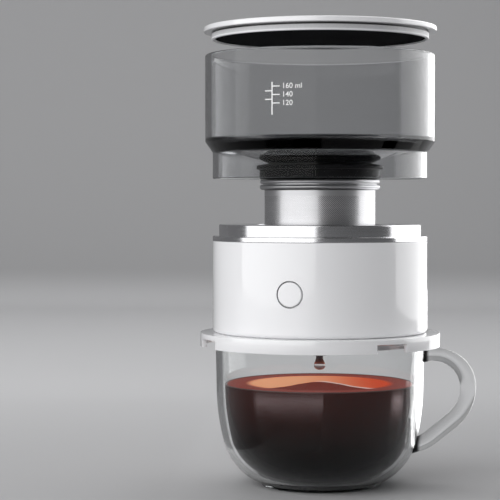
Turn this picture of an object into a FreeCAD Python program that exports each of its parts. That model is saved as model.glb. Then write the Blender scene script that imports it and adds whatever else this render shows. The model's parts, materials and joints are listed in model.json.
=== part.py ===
"""One-cup drip coffee maker: lid, tank, filter, motor base and glass mug, each piece a solid of its own."""
import FreeCAD, Part
import math
import os
import re
import Sketcher

# Driving sizes in millimetres, angles in degrees, counts as numbers.
SIZES = {
    # Glass mug
    "mug_rim_r": 41.9,
    "mug_wall": 2.3,
    "mug_height": 58.9,
    "mug_flare": 0.4,
    "mug_shoulder": 40.6,
    "mug_waist": 18.0,
    "bowl_upper_r": 97.0,
    "bowl_lower_r": 24.4,
    "foot_step": 0.6,
    "foot_height": 1.0,
    "mug_floor": 3.2,
    # Glass handle
    "handle_angle": 15.5,
    "handle_thick": 6.4,
    "handle_drop": 6.6,
    "handle_reach": 17.6,
    "handle_top_bend_r": 13.0,
    "handle_side_bend_r": 17.0,
    "handle_lean_angle": 51.0,
    "handle_foot": 15.8,
    "handle_foot_bend_r": 15.0,
    "handle_root": 5.0,
    # Seat ring and lower cover
    "seat_ring_t": 0.7,
    "cover_roof": 1.8,
    "skirt_depth": 3.6,
    "skirt_wall": 1.7,
    "skirt_gap": 4.4,
    "notch_angle": 17.0,
    "notch_turn": 51.0,
    "rib_wall": 1.4,
    "rib_depth": 3.0,
    "rib_play": 0.8,
    "edge_round": 0.6,
    # Body shell and top ring
    "body_height": 36.6,
    "body_wall": 2.2,
    "body_round": 1.8,
    "lip_t": 1.2,
    "lip_width": 3.8,
    "step_height": 2.0,
    "ring_height": 4.6,
    "ring_play": 0.45,
    "ring_plate": 1.6,
    "ring_wall": 1.6,
    "spigot_height": 2.5,
    "collar_wall": 1.2,
    "open_play": 0.6,
    # Filter cup and its floor
    "filter_r": 22.2,
    "filter_height": 36.0,
    "filter_wall": 0.8,
    "rim_width": 1.5,
    "rim_height": 4.1,
    "bead_bulge": 0.5,
    "bead_gap": 0.3,
    "mesh_lip": 1.5,
    "mesh_t": 0.6,
    "mesh_hole_r": 0.8,
    "mesh_pitch": 3.6,
    "mesh_rings": 5,
    "ring_holes": 6,
    # Filter carrier, gear and bush
    "carrier_play": 0.3,
    "carrier_wall": 2.0,
    "carrier_height": 24.0,
    "grip_height": 1.6,
    "grip_depth": 1.0,
    "running_fit": 0.05,
    "seat_gap": 0.1,
    "gear_module": 1.0,
    "gear_rim": 2.25,
    "gear_face": 4.5,
    "gear_drop": 2.0,
    "gear_backlash": 0.45,
    "gear_pressure": 20.0,
    "gear_dedendum": 1.25,
    "tooth_sink": 1.5,
    "pinion_teeth": 10,
    "bush_wall": 1.4,
    "bush_height": 10.0,
    "bush_flange": 1.5,
    # Inner frame, funnel and nozzle
    "sleeve_wall": 1.5,
    "bay_width": 13.3,
    "deck_t": 1.4,
    "boss_r": 3.0,
    "boss_height": 6.0,
    "post_r": 2.2,
    "post_spread": 9.0,
    "funnel_t": 1.5,
    "funnel_rim": 3.5,
    "funnel_fall": 7.1,
    "spout_bore": 1.8,
    "spout_wall": 1.4,
    "spout_length": 2.6,
    "nozzle_wall": 1.1,
    # Motor group
    "motor_r": 5.0,
    "motor_height": 20.0,
    "shaft_r": 1.0,
    "shaft_sink": 2.0,
    "bracket_t": 1.5,
    "bracket_width": 9.0,
    "bracket_land": 1.125,
    # Fasteners
    "screw_circle": 33.0,
    "screw_count": 4,
    "screw_angle": 45.0,
    "screw_r": 1.35,
    "screw_head_r": 2.7,
    "screw_head_h": 1.3,
    "screw_play": 0.15,
    "small_screw_r": 0.85,
    "small_head_r": 1.8,
    "small_head_h": 1.0,
    "small_screw_length": 6.0,
    # Battery, boards, switch, socket and button
    "part_play": 0.1,
    "battery_t": 8.0,
    "battery_width": 24.0,
    "battery_height": 22.0,
    "holder_wall": 0.9,
    "holder_height": 10.0,
    "board_t": 1.2,
    "board_width": 30.0,
    "board_height": 24.0,
    "rail_grip": 1.5,
    "rail_wall": 1.9,
    "rail_height": 9.0,
    "switch_side": 6.0,
    "switch_t": 2.2,
    "plunger_r": 1.7,
    "plunger_height": 1.1,
    "button_r": 4.75,
    "button_gap": 0.5,
    "button_rise": 17.0,
    "button_flange": 1.5,
    "button_flange_t": 0.9,
    "button_travel": 0.8,
    "socket_width": 9.0,
    "socket_height": 3.2,
    "socket_depth": 7.4,
    "socket_skin": 0.35,
    "socket_set": 1.0,
    "socket_corner": 1.44,
    "tongue_set": 0.5,
    "tongue_t": 0.7,
    "tongue_width": 6.6,
    "charge_board_width": 14.0,
    "charge_board_depth": 11.0,
    # Water tank
    "tank_height": 49.5,
    "tank_wall": 2.3,
    "tank_step": 3.0,
    "tank_skirt": 10.5,
    "tank_skirt_wall": 2.1,
    "tank_chamfer": 4.3,
    "tank_floor": 2.3,
    "tank_slope": 0.297,
    "outlet_r": 20.8,
    "outlet_rise": 6.3,
    "tank_rim_round": 0.8,
    # Tank seal and drip plate
    "seal_play": 0.2,
    "seal_neck": 2.1,
    "seal_body": 3.7,
    "seal_lip": 1.2,
    "seal_lip_t": 1.6,
    "seal_top": 0.7,
    "seal_gap": 0.3,
    "plate_t": 1.6,
    "plate_groove": 0.8,
    "drip_hole_r": 0.6,
    "drip_rings": 2,
    # Lid
    "lid_over": 0.6,
    "lid_t": 2.1,
    "lid_round": 0.7,
    "plug_play": 0.3,
    "plug_depth": 2.95,
    "plug_wall": 1.3,
    "plug_line": 0.4,
    "liner_step": 0.5,
    # How far the photographed pose holds the tank and the lid above their seats
    "tank_raise": 22.8,
    "lid_raise": 8.9,
}

# Sizes that follow from the driving ones. Heights are those of the closed machine, above the mug's foot.
DERIVED = {
    "upper_c_r": "mug_rim_r - mug_flare - bowl_upper_r",
    "waist_run": "sqrt(bowl_upper_r^2 - (mug_shoulder - mug_waist)^2)",
    "waist_out": "waist_run / bowl_upper_r",
    "waist_down": "(mug_shoulder - mug_waist) / bowl_upper_r",
    "waist_r": "upper_c_r + waist_run",
    "lower_c_r": "waist_r - bowl_lower_r * waist_out",
    "lower_c_z": "mug_waist + bowl_lower_r * waist_down",
    "foot_top": "max(foot_height; foot_height + lower_c_z - bowl_lower_r)",
    "bowl_foot_r": "lower_c_r + sqrt(bowl_lower_r^2 - (lower_c_z - foot_top)^2)",
    "foot_r": "bowl_foot_r - foot_step",
    "floor_z": "foot_top + mug_floor",
    "bowl_floor_r": "lower_c_r + sqrt((bowl_lower_r - mug_wall)^2 - (lower_c_z - floor_z)^2)",
    "waist_in_r": "waist_r - mug_wall * waist_out",
    "waist_in_z": "mug_waist + mug_wall * waist_down",
    "handle_z": "mug_height - handle_drop",
    "handle_out": "mug_rim_r + handle_reach",
    "bend_r": "handle_out - handle_side_bend_r * (1 - cos(handle_lean_angle))",
    "bend_z": "handle_z - handle_top_bend_r - handle_side_bend_r * sin(handle_lean_angle)",
    "run_drop": "bend_z - handle_foot - handle_foot_bend_r * (1 - sin(handle_lean_angle))",
    "tail_r": "bend_r - run_drop * tan(handle_lean_angle)",
    "tail_z": "bend_z - run_drop",
    "root_r": "tail_r - handle_foot_bend_r * cos(handle_lean_angle)",
    "roof_z": "mug_height + seat_ring_t",
    "deck_z": "roof_z + cover_roof",
    "deck_top": "deck_z + lip_t + seat_gap + deck_t",
    "body_top": "deck_z + body_height",
    "step_top": "body_top + step_height",
    "ring_top": "step_top + ring_height",
    "rim_top": "step_top - seal_gap",
    "rim_under": "rim_top - rim_height",
    "carrier_top": "rim_under - seat_gap",
    "filter_foot": "rim_top - filter_height",
    "gear_top": "carrier_top - gear_drop",
    "gear_foot": "gear_top - gear_face",
    "sleeve_top": "gear_foot - seat_gap - bush_flange",
    "carrier_bore": "filter_r + carrier_play",
    "carrier_r": "carrier_bore + carrier_wall",
    "bush_in": "carrier_r + running_fit",
    "bush_out": "bush_in + bush_wall",
    "sleeve_in": "bush_out + running_fit",
    "sleeve_out": "sleeve_in + sleeve_wall",
    "bay_out": "sleeve_out + bay_width",
    "body_r": "bay_out + body_wall",
    "lip_in": "bay_out - lip_width",
    "gear_teeth": "2 * round((carrier_r + gear_rim) / gear_module + gear_dedendum)",
    "gear_pitch_r": "gear_module * gear_teeth / 2",
    "pinion_pitch_r": "gear_module * pinion_teeth / 2",
    "motor_x": "gear_pitch_r + pinion_pitch_r",
    "motor_top": "deck_top + motor_height",
    "skirt_in": "mug_rim_r + skirt_gap",
    "flange_r": "skirt_in + skirt_wall",
    "rib_out": "mug_rim_r - mug_wall - rib_play",
    "cover_hole": "sleeve_in - 2 * funnel_t + running_fit",
    "funnel_r": "sleeve_in - seal_play",
    "funnel_in": "funnel_r - funnel_t",
    "funnel_neck_z": "deck_z + funnel_t - funnel_fall",
    "spout_out": "spout_bore + spout_wall",
    "spout_foot": "funnel_neck_z - spout_length",
    "nozzle_foot": "spout_foot - seat_gap - nozzle_wall",
    "nozzle_top": "funnel_neck_z - funnel_t - seat_gap",
    "button_z": "deck_z + button_rise",
    "button_seat": "sqrt(bay_out^2 - (button_r + button_flange)^2) - button_gap",
    "button_back": "button_seat - button_flange_t",
    "plunger_tip": "button_back - button_travel - seat_gap",
    "board_front": "plunger_tip - plunger_height - switch_t",
    "charge_y": "body_r - socket_set",
    "charge_front": "sqrt(bay_out^2 - charge_board_width^2 / 4) - seal_gap",
    "socket_z": "deck_top + board_t + socket_height / 2",
    "skirt_bore": "body_r - tank_skirt_wall",
    "ring_r": "skirt_bore - ring_play",
    "tank_r": "body_r + tank_step",
    "tank_bore": "tank_r - tank_wall",
    "skirt_floor": "outlet_rise + (skirt_bore - outlet_r) * tank_slope",
    "outlet_top": "outlet_rise + tank_floor",
    "wall_floor": "outlet_top + (tank_bore - outlet_r) * tank_slope",
    "rim_r": "filter_r + rim_width",
    "bead_r": "rim_r + bead_bulge",
    "bead_span": "(rim_height - bead_gap) / 2",
    "bead_arc": "(bead_span^2 / 4 + bead_bulge^2) / (2 * bead_bulge)",
    "neck_r": "outlet_r - seal_play",
    "seal_bore": "neck_r - seal_neck",
    "lip_r": "bead_r + seal_lip",
    "upper_lip": "outlet_top + seal_play + (bead_r - neck_r) * tank_slope",
    "open_r": "lip_r + open_play",
    "lid_r": "tank_r + lid_over",
    "plug_r": "tank_bore - plug_play",
    "tank_base": "step_top + tank_raise",
    "lid_base": "tank_base + tank_height + lid_raise",
}

# The least volume, in cubic millimetres, that counts as a cut.
LEAST_CUT = 1e-6

doc = FreeCAD.newDocument("drip_coffee_maker")


def make_sheet():
    """Put each driving size in a cell of its own, with its name as the cell's alias."""
    sheet = doc.addObject("Spreadsheet::Sheet", "Sizes")
    for row, (name, number) in enumerate(SIZES.items(), start=1):
        sheet.set(f"A{row}", name)
        sheet.set(f"B{row}", str(number))
        sheet.setAlias(f"B{row}", name)
    doc.recompute()
    return sheet


SHEET = make_sheet()


def formula(text):
    """Spell a size formula with the sheet's cells, with derived sizes written out in full."""
    def spell(match):
        word = match.group(0)
        if word in SIZES:
            return "Sizes." + word
        if word in DERIVED:
            return "(" + formula(DERIVED[word]) + ")"
        return word
    return re.sub(r"[a-z][a-z0-9_]*", spell, str(text))


def value(text):
    """Work out a size formula as a number."""
    return float(SHEET.evalExpression(formula(text)))


def bind(thing, sizes):
    """Bind properties of a document object to size formulas."""
    for name, text in sizes.items():
        thing.setExpression(name, formula(text))


def place(thing, x="0", y="0", z="0", turn=None):
    """Bind an object's position, and set its turn as (axis, degrees)."""
    if turn:
        axis, degrees = turn
        thing.Placement.Rotation = FreeCAD.Rotation(FreeCAD.Vector(*axis), degrees)
    bind(thing, {"Placement.Base.x": x, "Placement.Base.y": y, "Placement.Base.z": z})
    return thing


# Sketch helpers

def new_body(label):
    body = doc.addObject("PartDesign::Body", label)
    body.Label = label
    return body


def new_sketch(body, role, offset="0"):
    """Attach a sketch to one of the body's own planes, moved along that plane's normal."""
    sketch = body.newObject("Sketcher::SketchObject", body.Name + "_sketch")
    plane = next(f for f in body.Origin.OriginFeatures if f.Role == role)
    sketch.AttachmentSupport = [(plane, "")]
    sketch.MapMode = "FlatFace"
    bind(sketch, {"AttachmentOffset.Base.z": offset})
    return sketch


def hold_point(sketch, index, end, across, up):
    """Hold one end of a curve at bound distances from the sketch's origin."""
    for kind, axis, text in (("DistanceX", -2, across), ("DistanceY", -1, up)):
        if str(text) == "0":
            sketch.addConstraint(Sketcher.Constraint("PointOnObject", index, end, axis))
        else:
            rule = Sketcher.Constraint(kind, -1, 1, index, end, value(text))
            bind(sketch, {f"Constraints[{sketch.addConstraint(rule)}]": text})


def arc_between(start, end, radius):
    """Make the short arc between two points: left for a positive radius, right for a negative one."""
    chord = end - start
    half = chord.Length / 2
    left = FreeCAD.Vector(-chord.y, chord.x, 0) / chord.Length
    reach = math.sqrt(max(radius * radius - half * half, 0.0))
    centre = (start + end) / 2 + left * math.copysign(reach, radius)
    first, last = (start, end) if radius > 0 else (end, start)
    angles = [math.atan2(p.y - centre.y, p.x - centre.x) for p in (first, last)]
    return Part.ArcOfCircle(Part.Circle(centre, FreeCAD.Vector(0, 0, 1), abs(radius)), *angles)


def draw(sketch, corners, closed=True):
    """Draw a path through corners (across, up). A third item is the radius of the arc that leads there."""
    points = [FreeCAD.Vector(value(corner[0]), value(corner[1]), 0) for corner in corners]
    sides = []
    for k in range(0 if closed else 1, len(corners)):
        across, up, *bend = corners[k]
        radius = value(bend[0]) if bend else 0
        start, end = points[k - 1], points[k]
        side = arc_between(start, end, radius) if bend else Part.LineSegment(start, end)
        index = sketch.addGeometry(side)
        first, last = (2, 1) if radius < 0 else (1, 2)
        sides.append((index, first, last))
        if bend:
            rule = Sketcher.Constraint("Radius", index, abs(radius))
            bind(sketch, {f"Constraints[{sketch.addConstraint(rule)}]": f"abs({bend[0]})"})
        hold_point(sketch, index, last, across, up)
    followers = sides[1:] + sides[:1] if closed else sides[1:]
    for (index, _, last), (following, first, _) in zip(sides, followers):
        sketch.addConstraint(Sketcher.Constraint("Coincident", index, last, following, first))
    if not closed:
        hold_point(sketch, sides[0][0], sides[0][1], *corners[0])


def draw_circle(sketch, across, up, radius):
    centre = FreeCAD.Vector(value(across), value(up), 0)
    index = sketch.addGeometry(Part.Circle(centre, FreeCAD.Vector(0, 0, 1), value(radius)))
    hold_point(sketch, index, 3, across, up)
    rule = Sketcher.Constraint("Radius", index, value(radius))
    bind(sketch, {f"Constraints[{sketch.addConstraint(rule)}]": radius})


# Feature helpers

def add_feature(body, kind, sketch, **sizes):
    feature = body.newObject("PartDesign::" + kind, body.Name + "_" + kind.lower())
    feature.Profile = sketch
    bind(feature, sizes)
    body.Tip = feature
    return feature


def turned(label, corners):
    """Turn a closed outline, given as radius and height, about the vertical axis."""
    body = new_body(label)
    sketch = new_sketch(body, "XZ_Plane")
    draw(sketch, corners)
    feature = add_feature(body, "Revolution", sketch)
    feature.ReferenceAxis = (sketch, ["V_Axis"])
    feature.Angle = 360
    return body


def pad(body, sketch, length, reverse=False):
    feature = add_feature(body, "Pad", sketch, Length=length)
    feature.Reversed = reverse
    return feature


def pocket(body, sketch, length, reverse=False):
    """Cut a pocket, and make sure that it takes something away."""
    doc.recompute()
    before = body.Shape.Volume
    feature = add_feature(body, "Pocket", sketch, Length=length)
    feature.Reversed = reverse
    doc.recompute()
    if body.Shape.Volume > before - LEAST_CUT:
        raise RuntimeError(body.Label + ": a pocket cut nothing")
    return feature


def polar(body, feature, sketch, count):
    """Repeat a feature round the sketch's normal."""
    pattern = body.newObject("PartDesign::PolarPattern", body.Name + "_pattern")
    pattern.Originals = [feature]
    pattern.Axis = (sketch, ["N_Axis"])
    pattern.Angle = 360
    bind(pattern, {"Occurrences": count})
    body.Tip = pattern
    return pattern


def rectangle(left, low, right, high):
    return [(left, low), (right, low), (right, high), (left, high)]


def rounded(left, low, right, high, radius):
    """Outline a rectangle with round corners."""
    return [
        (f"{right} - {radius}", low),
        (right, f"{low} + {radius}", radius),
        (right, f"{high} - {radius}"),
        (f"{right} - {radius}", high, radius),
        (f"{left} + {radius}", high),
        (left, f"{high} - {radius}", radius),
        (left, f"{low} + {radius}"),
        (f"{left} + {radius}", low, radius),
    ]


def box(label, length, width, height, x, y, z):
    """Make a block from its sizes along X, Y and Z and its lowest corner."""
    block = doc.addObject("Part::Box", label)
    bind(block, {"Length": length, "Width": width, "Height": height})
    return place(block, x, y, z)


def rod(label, radius, height, x="0", y="0", z="0", turn=None):
    cylinder = doc.addObject("Part::Cylinder", label)
    bind(cylinder, {"Radius": radius, "Height": height})
    return place(cylinder, x, y, z, turn)


def join(label, *pieces):
    fused = doc.addObject("Part::MultiFuse", label)
    fused.Shapes = list(pieces)
    fused.Label = label
    return fused


def cut(label, base, *tools):
    """Take one or more tools out of a base."""
    result = doc.addObject("Part::Cut", label)
    result.Base = base
    result.Tool = tools[0] if len(tools) == 1 else join(label + "_tools", *tools)
    result.Label = label
    return result


def group(label, pieces):
    compound = doc.addObject("Part::Compound", label)
    compound.Links = pieces
    compound.Label = label
    return compound


# Glass mug

BOWL_OUTSIDE = [
    ("0", "0"),
    ("foot_r", "0"),
    ("foot_r", "foot_top"),
    ("bowl_foot_r", "foot_top"),
    ("waist_r", "mug_waist", "bowl_lower_r"),
    ("mug_rim_r - mug_flare", "mug_shoulder", "bowl_upper_r"),
    ("mug_rim_r", "mug_height - edge_round"),
    ("mug_rim_r - edge_round", "mug_height", "edge_round"),
]


def make_mug():
    """The bowl is blown glass of even wall, and its handle is a bent rod welded to it at both ends."""
    turned("glass_mug", BOWL_OUTSIDE + [
        ("mug_rim_r - mug_wall + edge_round", "mug_height"),
        ("mug_rim_r - mug_wall", "mug_height - edge_round", "edge_round"),
        ("mug_rim_r - mug_flare - mug_wall", "mug_shoulder"),
        ("waist_in_r", "waist_in_z", "-(bowl_upper_r - mug_wall)"),
        ("bowl_floor_r", "floor_z", "-(bowl_lower_r - mug_wall)"),
        ("0", "floor_z"),
    ])
    solid_bowl = turned("solid_bowl", BOWL_OUTSIDE + [("0", "mug_height")])
    bent_rod = new_body("bent_rod")
    start = "mug_rim_r - mug_wall - handle_root"
    section = new_sketch(bent_rod, "YZ_Plane", start)
    draw_circle(section, "0", "handle_z", "handle_thick / 2")
    route = new_sketch(bent_rod, "XZ_Plane")
    draw(route, [
        (start, "handle_z"),
        ("handle_out - handle_top_bend_r", "handle_z"),
        ("handle_out", "handle_z - handle_top_bend_r", "-handle_top_bend_r"),
        ("bend_r", "bend_z", "-handle_side_bend_r"),
        ("tail_r", "tail_z"),
        ("root_r", "handle_foot", "-handle_foot_bend_r"),
        ("root_r - handle_root", "handle_foot"),
    ], closed=False)
    pipe = add_feature(bent_rod, "AdditivePipe", section)
    pipe.Spine = (route, [f"Edge{k}" for k in range(1, 7)])
    place(bent_rod, turn=((0, 0, 1), value("handle_angle")))
    cut("mug_handle", bent_rod, solid_bowl)


# Fixed pieces of the base

def make_cover():
    """The lower cover sits over the mug's mouth on a soft ring, and its skirt is notched on both sides."""
    turned("seat_ring", rectangle("rib_out + seal_play", "mug_height", "mug_rim_r + seal_play", "roof_z"))
    cover = turned("lower_cover", [
        ("cover_hole", "roof_z"),
        ("rib_out - rib_wall", "roof_z"),
        ("rib_out - rib_wall", "roof_z - rib_depth"),
        ("rib_out", "roof_z - rib_depth"),
        ("rib_out", "roof_z"),
        ("skirt_in", "roof_z"),
        ("skirt_in", "roof_z - skirt_depth"),
        ("flange_r", "roof_z - skirt_depth"),
        ("flange_r", "deck_z - edge_round"),
        ("flange_r - edge_round", "deck_z", "edge_round"),
        ("cover_hole", "deck_z"),
    ])
    notches = new_sketch(cover, "XY_Plane", "roof_z - skirt_depth")
    near, far = "(skirt_in - seal_play)", "(flange_r + skirt_wall)"
    for side in ("-90 - notch_turn", "-90 + notch_turn"):
        low, high = f"({side} - notch_angle / 2)", f"({side} + notch_angle / 2)"
        draw(notches, [(f"{r} * cos({a})", f"{r} * sin({a})") for r, a in
                       ((near, low), (far, low), (far, high), (near, high))])
    polar(cover, pocket(cover, notches, "skirt_depth - seal_play", reverse=True), notches, "2")
    drill_screw_holes(cover, "roof_z", "cover_roof", "screw_r + screw_play")


def drill_screw_holes(body, low, depth, radius):
    """Drill the four case screw holes upwards from a height."""
    holes = new_sketch(body, "XY_Plane", low)
    draw_circle(holes, "screw_circle * cos(screw_angle)", "screw_circle * sin(screw_angle)", radius)
    polar(body, pocket(body, holes, depth, reverse=True), holes, "screw_count")


def make_shell():
    """The body shell has a clamping lip at its foot, a button hole in front and a socket slot behind."""
    shell = turned("body_shell", [
        ("lip_in", "deck_z"),
        ("body_r - body_round", "deck_z"),
        ("body_r", "deck_z + body_round", "body_round"),
        ("body_r", "body_top"),
        ("bay_out", "body_top"),
        ("bay_out", "deck_z + lip_t"),
        ("lip_in", "deck_z + lip_t"),
    ])
    button_hole = new_sketch(shell, "XZ_Plane")
    draw_circle(button_hole, "0", "button_z", "button_r + button_gap")
    pocket(shell, button_hole, "body_r + body_wall", reverse=True)
    socket_hole = new_sketch(shell, "XZ_Plane")
    draw(socket_hole, rounded("-socket_width / 2 - seal_gap", "socket_z - socket_height / 2 - seal_gap",
                              "socket_width / 2 + seal_gap", "socket_z + socket_height / 2 + seal_gap",
                              "socket_height / 2"))
    pocket(shell, socket_hole, "body_r + body_wall")


def make_top_ring():
    """The steel top ring carries the tank on its step, and its collar guards the gear from splashes."""
    turned("top_ring", [
        ("open_r", "gear_top + gear_module"),
        ("open_r + collar_wall", "gear_top + gear_module"),
        ("open_r + collar_wall", "ring_top - ring_plate"),
        ("ring_r - ring_wall", "ring_top - ring_plate"),
        ("ring_r - ring_wall", "body_top - spigot_height"),
        ("bay_out - part_play", "body_top - spigot_height"),
        ("bay_out - part_play", "body_top"),
        ("body_r", "body_top"),
        ("body_r", "step_top"),
        ("ring_r", "step_top"),
        ("ring_r", "ring_top - edge_round"),
        ("ring_r - edge_round", "ring_top", "edge_round"),
        ("open_r", "ring_top"),
    ])


def make_frame():
    """The inner frame clamps the shell to the cover, guides the carrier's bush and carries the motor."""
    frame = turned("inner_frame", [
        ("sleeve_in", "deck_z"),
        ("lip_in - part_play", "deck_z"),
        ("lip_in - part_play", "deck_z + lip_t + seat_gap"),
        ("bay_out - seal_gap", "deck_z + lip_t + seat_gap"),
        ("bay_out - seal_gap", "deck_top"),
        ("sleeve_out", "deck_top"),
        ("sleeve_out", "sleeve_top"),
        ("sleeve_in", "sleeve_top"),
    ])
    bosses = new_sketch(frame, "XY_Plane", "deck_top")
    draw_circle(bosses, "screw_circle * cos(screw_angle)", "screw_circle * sin(screw_angle)", "boss_r")
    polar(frame, pad(frame, bosses, "boss_height"), bosses, "screw_count")
    drill_screw_holes(frame, "deck_z", "deck_top - deck_z + boss_height", "screw_r")
    posts = new_sketch(frame, "XY_Plane", "deck_top")
    for y in ("post_spread", "-post_spread"):
        draw_circle(posts, "-motor_x", y, "post_r")
    pad(frame, posts, "motor_top - deck_top")
    post_holes = new_sketch(frame, "XY_Plane", "motor_top")
    for y in ("post_spread", "-post_spread"):
        draw_circle(post_holes, "-motor_x", y, "small_screw_r")
    pocket(frame, post_holes, "small_screw_length")


def make_funnel():
    """The funnel hangs in the cover's hole under the filter and drips through a soft nozzle into the mug."""
    turned("drip_funnel", [
        ("spout_bore", "spout_foot"),
        ("spout_out", "spout_foot"),
        ("spout_out", "funnel_neck_z - funnel_t"),
        ("cover_hole - seal_gap", "deck_z - funnel_t / 2"),
        ("cover_hole - seal_gap", "deck_z"),
        ("funnel_r", "deck_z"),
        ("funnel_r", "deck_z + funnel_rim"),
        ("funnel_in", "deck_z + funnel_rim"),
        ("funnel_in", "deck_z + funnel_t"),
        ("spout_bore", "funnel_neck_z"),
    ])
    turned("drip_nozzle", [
        ("spout_bore", "nozzle_foot"),
        ("spout_out", "nozzle_foot"),
        ("spout_out + part_play + nozzle_wall", "spout_foot - seat_gap"),
        ("spout_out + part_play + nozzle_wall", "nozzle_top"),
        ("spout_out + part_play", "nozzle_top"),
        ("spout_out + part_play", "spout_foot - seat_gap"),
        ("spout_bore", "spout_foot - seat_gap"),
    ])


def make_bush():
    turned("carrier_bush", [
        ("bush_in", "sleeve_top - bush_height"),
        ("bush_out", "sleeve_top - bush_height"),
        ("bush_out", "sleeve_top"),
        ("sleeve_out", "sleeve_top"),
        ("sleeve_out", "sleeve_top + bush_flange"),
        ("bush_in", "sleeve_top + bush_flange"),
    ])


# Carrier, gears and motor

def tooth(pitch_r):
    """Outline one tooth on the X axis, even up to the pitch line and then drawn in to the tip."""
    half = "(pi * gear_module / 4 - gear_backlash / 4)"
    root, tip = f"{pitch_r} - tooth_sink * gear_module", f"{pitch_r} + gear_module"
    tip_half = f"({half} - gear_module * tan(gear_pressure))"
    return [(root, f"-{half}"), (pitch_r, f"-{half}"), (tip, f"-{tip_half}"),
            (tip, tip_half), (pitch_r, half), (root, half)]


def make_carrier():
    """The carrier turns the filter: its bore has a soft grip ring and its outside a ring gear."""
    grip_z = "(gear_foot + gear_face / 2)"
    carrier = turned("filter_carrier", [
        ("carrier_bore", "carrier_top - carrier_height"),
        ("carrier_r", "carrier_top - carrier_height"),
        ("carrier_r", "gear_foot"),
        ("gear_pitch_r - gear_dedendum * gear_module", "gear_foot"),
        ("gear_pitch_r - gear_dedendum * gear_module", "gear_top"),
        ("carrier_r", "gear_top"),
        ("carrier_r", "carrier_top"),
        ("carrier_bore", "carrier_top"),
        ("carrier_bore", f"{grip_z} + grip_height / 2"),
        ("carrier_bore + grip_depth", f"{grip_z} + grip_height / 2"),
        ("carrier_bore + grip_depth", f"{grip_z} - grip_height / 2"),
        ("carrier_bore", f"{grip_z} - grip_height / 2"),
    ])
    sketch = new_sketch(carrier, "XY_Plane", "gear_foot")
    draw(sketch, tooth("gear_pitch_r"))
    polar(carrier, pad(carrier, sketch, "gear_face"), sketch, "gear_teeth")
    turned("grip_ring", rectangle("filter_r + running_fit", f"{grip_z} - grip_height / 2 + running_fit",
                                  "carrier_bore + grip_depth - running_fit",
                                  f"{grip_z} + grip_height / 2 - running_fit"))


def make_motor():
    """The gear motor stands on the deck beside the sleeve, under a bracket, and turns the ring gear."""
    motor = turned("gear_motor", [
        ("0", "0"),
        ("motor_r", "0"),
        ("motor_r", "motor_height"),
        ("shaft_r + running_fit", "motor_height"),
        ("shaft_r + running_fit", "motor_height - shaft_sink"),
        ("0", "motor_height - shaft_sink"),
    ])
    place(motor, "-motor_x", "0", "deck_top")
    rod("motor_shaft", "shaft_r", "gear_top - motor_top + shaft_sink - seat_gap", "-motor_x", "0",
        "motor_top - shaft_sink + seat_gap")
    pinion = turned("motor_pinion", rectangle("shaft_r + running_fit / 2", "gear_foot",
                                              "pinion_pitch_r - gear_dedendum * gear_module", "gear_top"))
    sketch = new_sketch(pinion, "XY_Plane", "gear_foot")
    draw(sketch, tooth("pinion_pitch_r"))
    polar(pinion, pad(pinion, sketch, "gear_face"), sketch, "pinion_teeth")
    place(pinion, "-motor_x", turn=((0, 0, 1), 180 / value("pinion_teeth")))
    plate = box("bracket_plate", "bracket_width", "2 * (post_spread + post_r)", "bracket_t",
                "-motor_x - bracket_width / 2", "-post_spread - post_r", "motor_top")
    openings = [rod("bracket_bore", "motor_r - bracket_land", "bracket_t", "-motor_x", "0", "motor_top")]
    screws = []
    for side, y in (("left", "-post_spread"), ("right", "post_spread")):
        openings.append(rod("bracket_hole_" + side, "small_screw_r + running_fit", "bracket_t",
                            "-motor_x", y, "motor_top"))
        shank = rod("small_shank_" + side, "small_screw_r - running_fit",
                    "small_screw_length + bracket_t - seat_gap", "-motor_x", y,
                    "motor_top - small_screw_length + seat_gap")
        head = rod("small_head_" + side, "small_head_r", "small_head_h", "-motor_x", y,
                   "motor_top + bracket_t")
        screws.append(join("small_screw_" + side, shank, head))
    cut("motor_bracket", plate, *openings)
    group("motor_screws", screws)


def make_case_screws():
    screws = []
    for k in range(round(value("screw_count"))):
        turn = f"screw_angle + {k} * 360 / screw_count"
        x, y = (f"screw_circle * {part}({turn})" for part in ("cos", "sin"))
        head = rod(f"case_head_{k}", "screw_head_r", "screw_head_h", x, y, "roof_z - screw_head_h")
        shank = rod(f"case_shank_{k}", "screw_r - running_fit", "deck_top - roof_z + boss_height - seat_gap",
                    x, y, "roof_z")
        screws.append(join(f"case_screw_{k}", head, shank))
    group("case_screws", screws)


# Battery, boards, switch, socket and button

def make_battery():
    """The battery pouch stands in a tray on the deck, opposite the motor."""
    near = "(sleeve_out + seal_gap + holder_wall + part_play)"
    rim = "(holder_wall + part_play)"
    tray = box("tray_block", f"battery_t + 2 * {rim}", f"battery_width + 2 * {rim}", "holder_height",
               f"{near} - {rim}", f"-battery_width / 2 - {rim}", "deck_top")
    space = box("tray_space", "battery_t + 2 * part_play", "battery_width + 2 * part_play", "holder_height",
                f"{near} - part_play", "-battery_width / 2 - part_play", "deck_top + holder_wall")
    cut("battery_holder", tray, space)
    box("battery", "battery_t", "battery_width", "battery_height", near, "-battery_width / 2",
        "deck_top + holder_wall")


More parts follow.
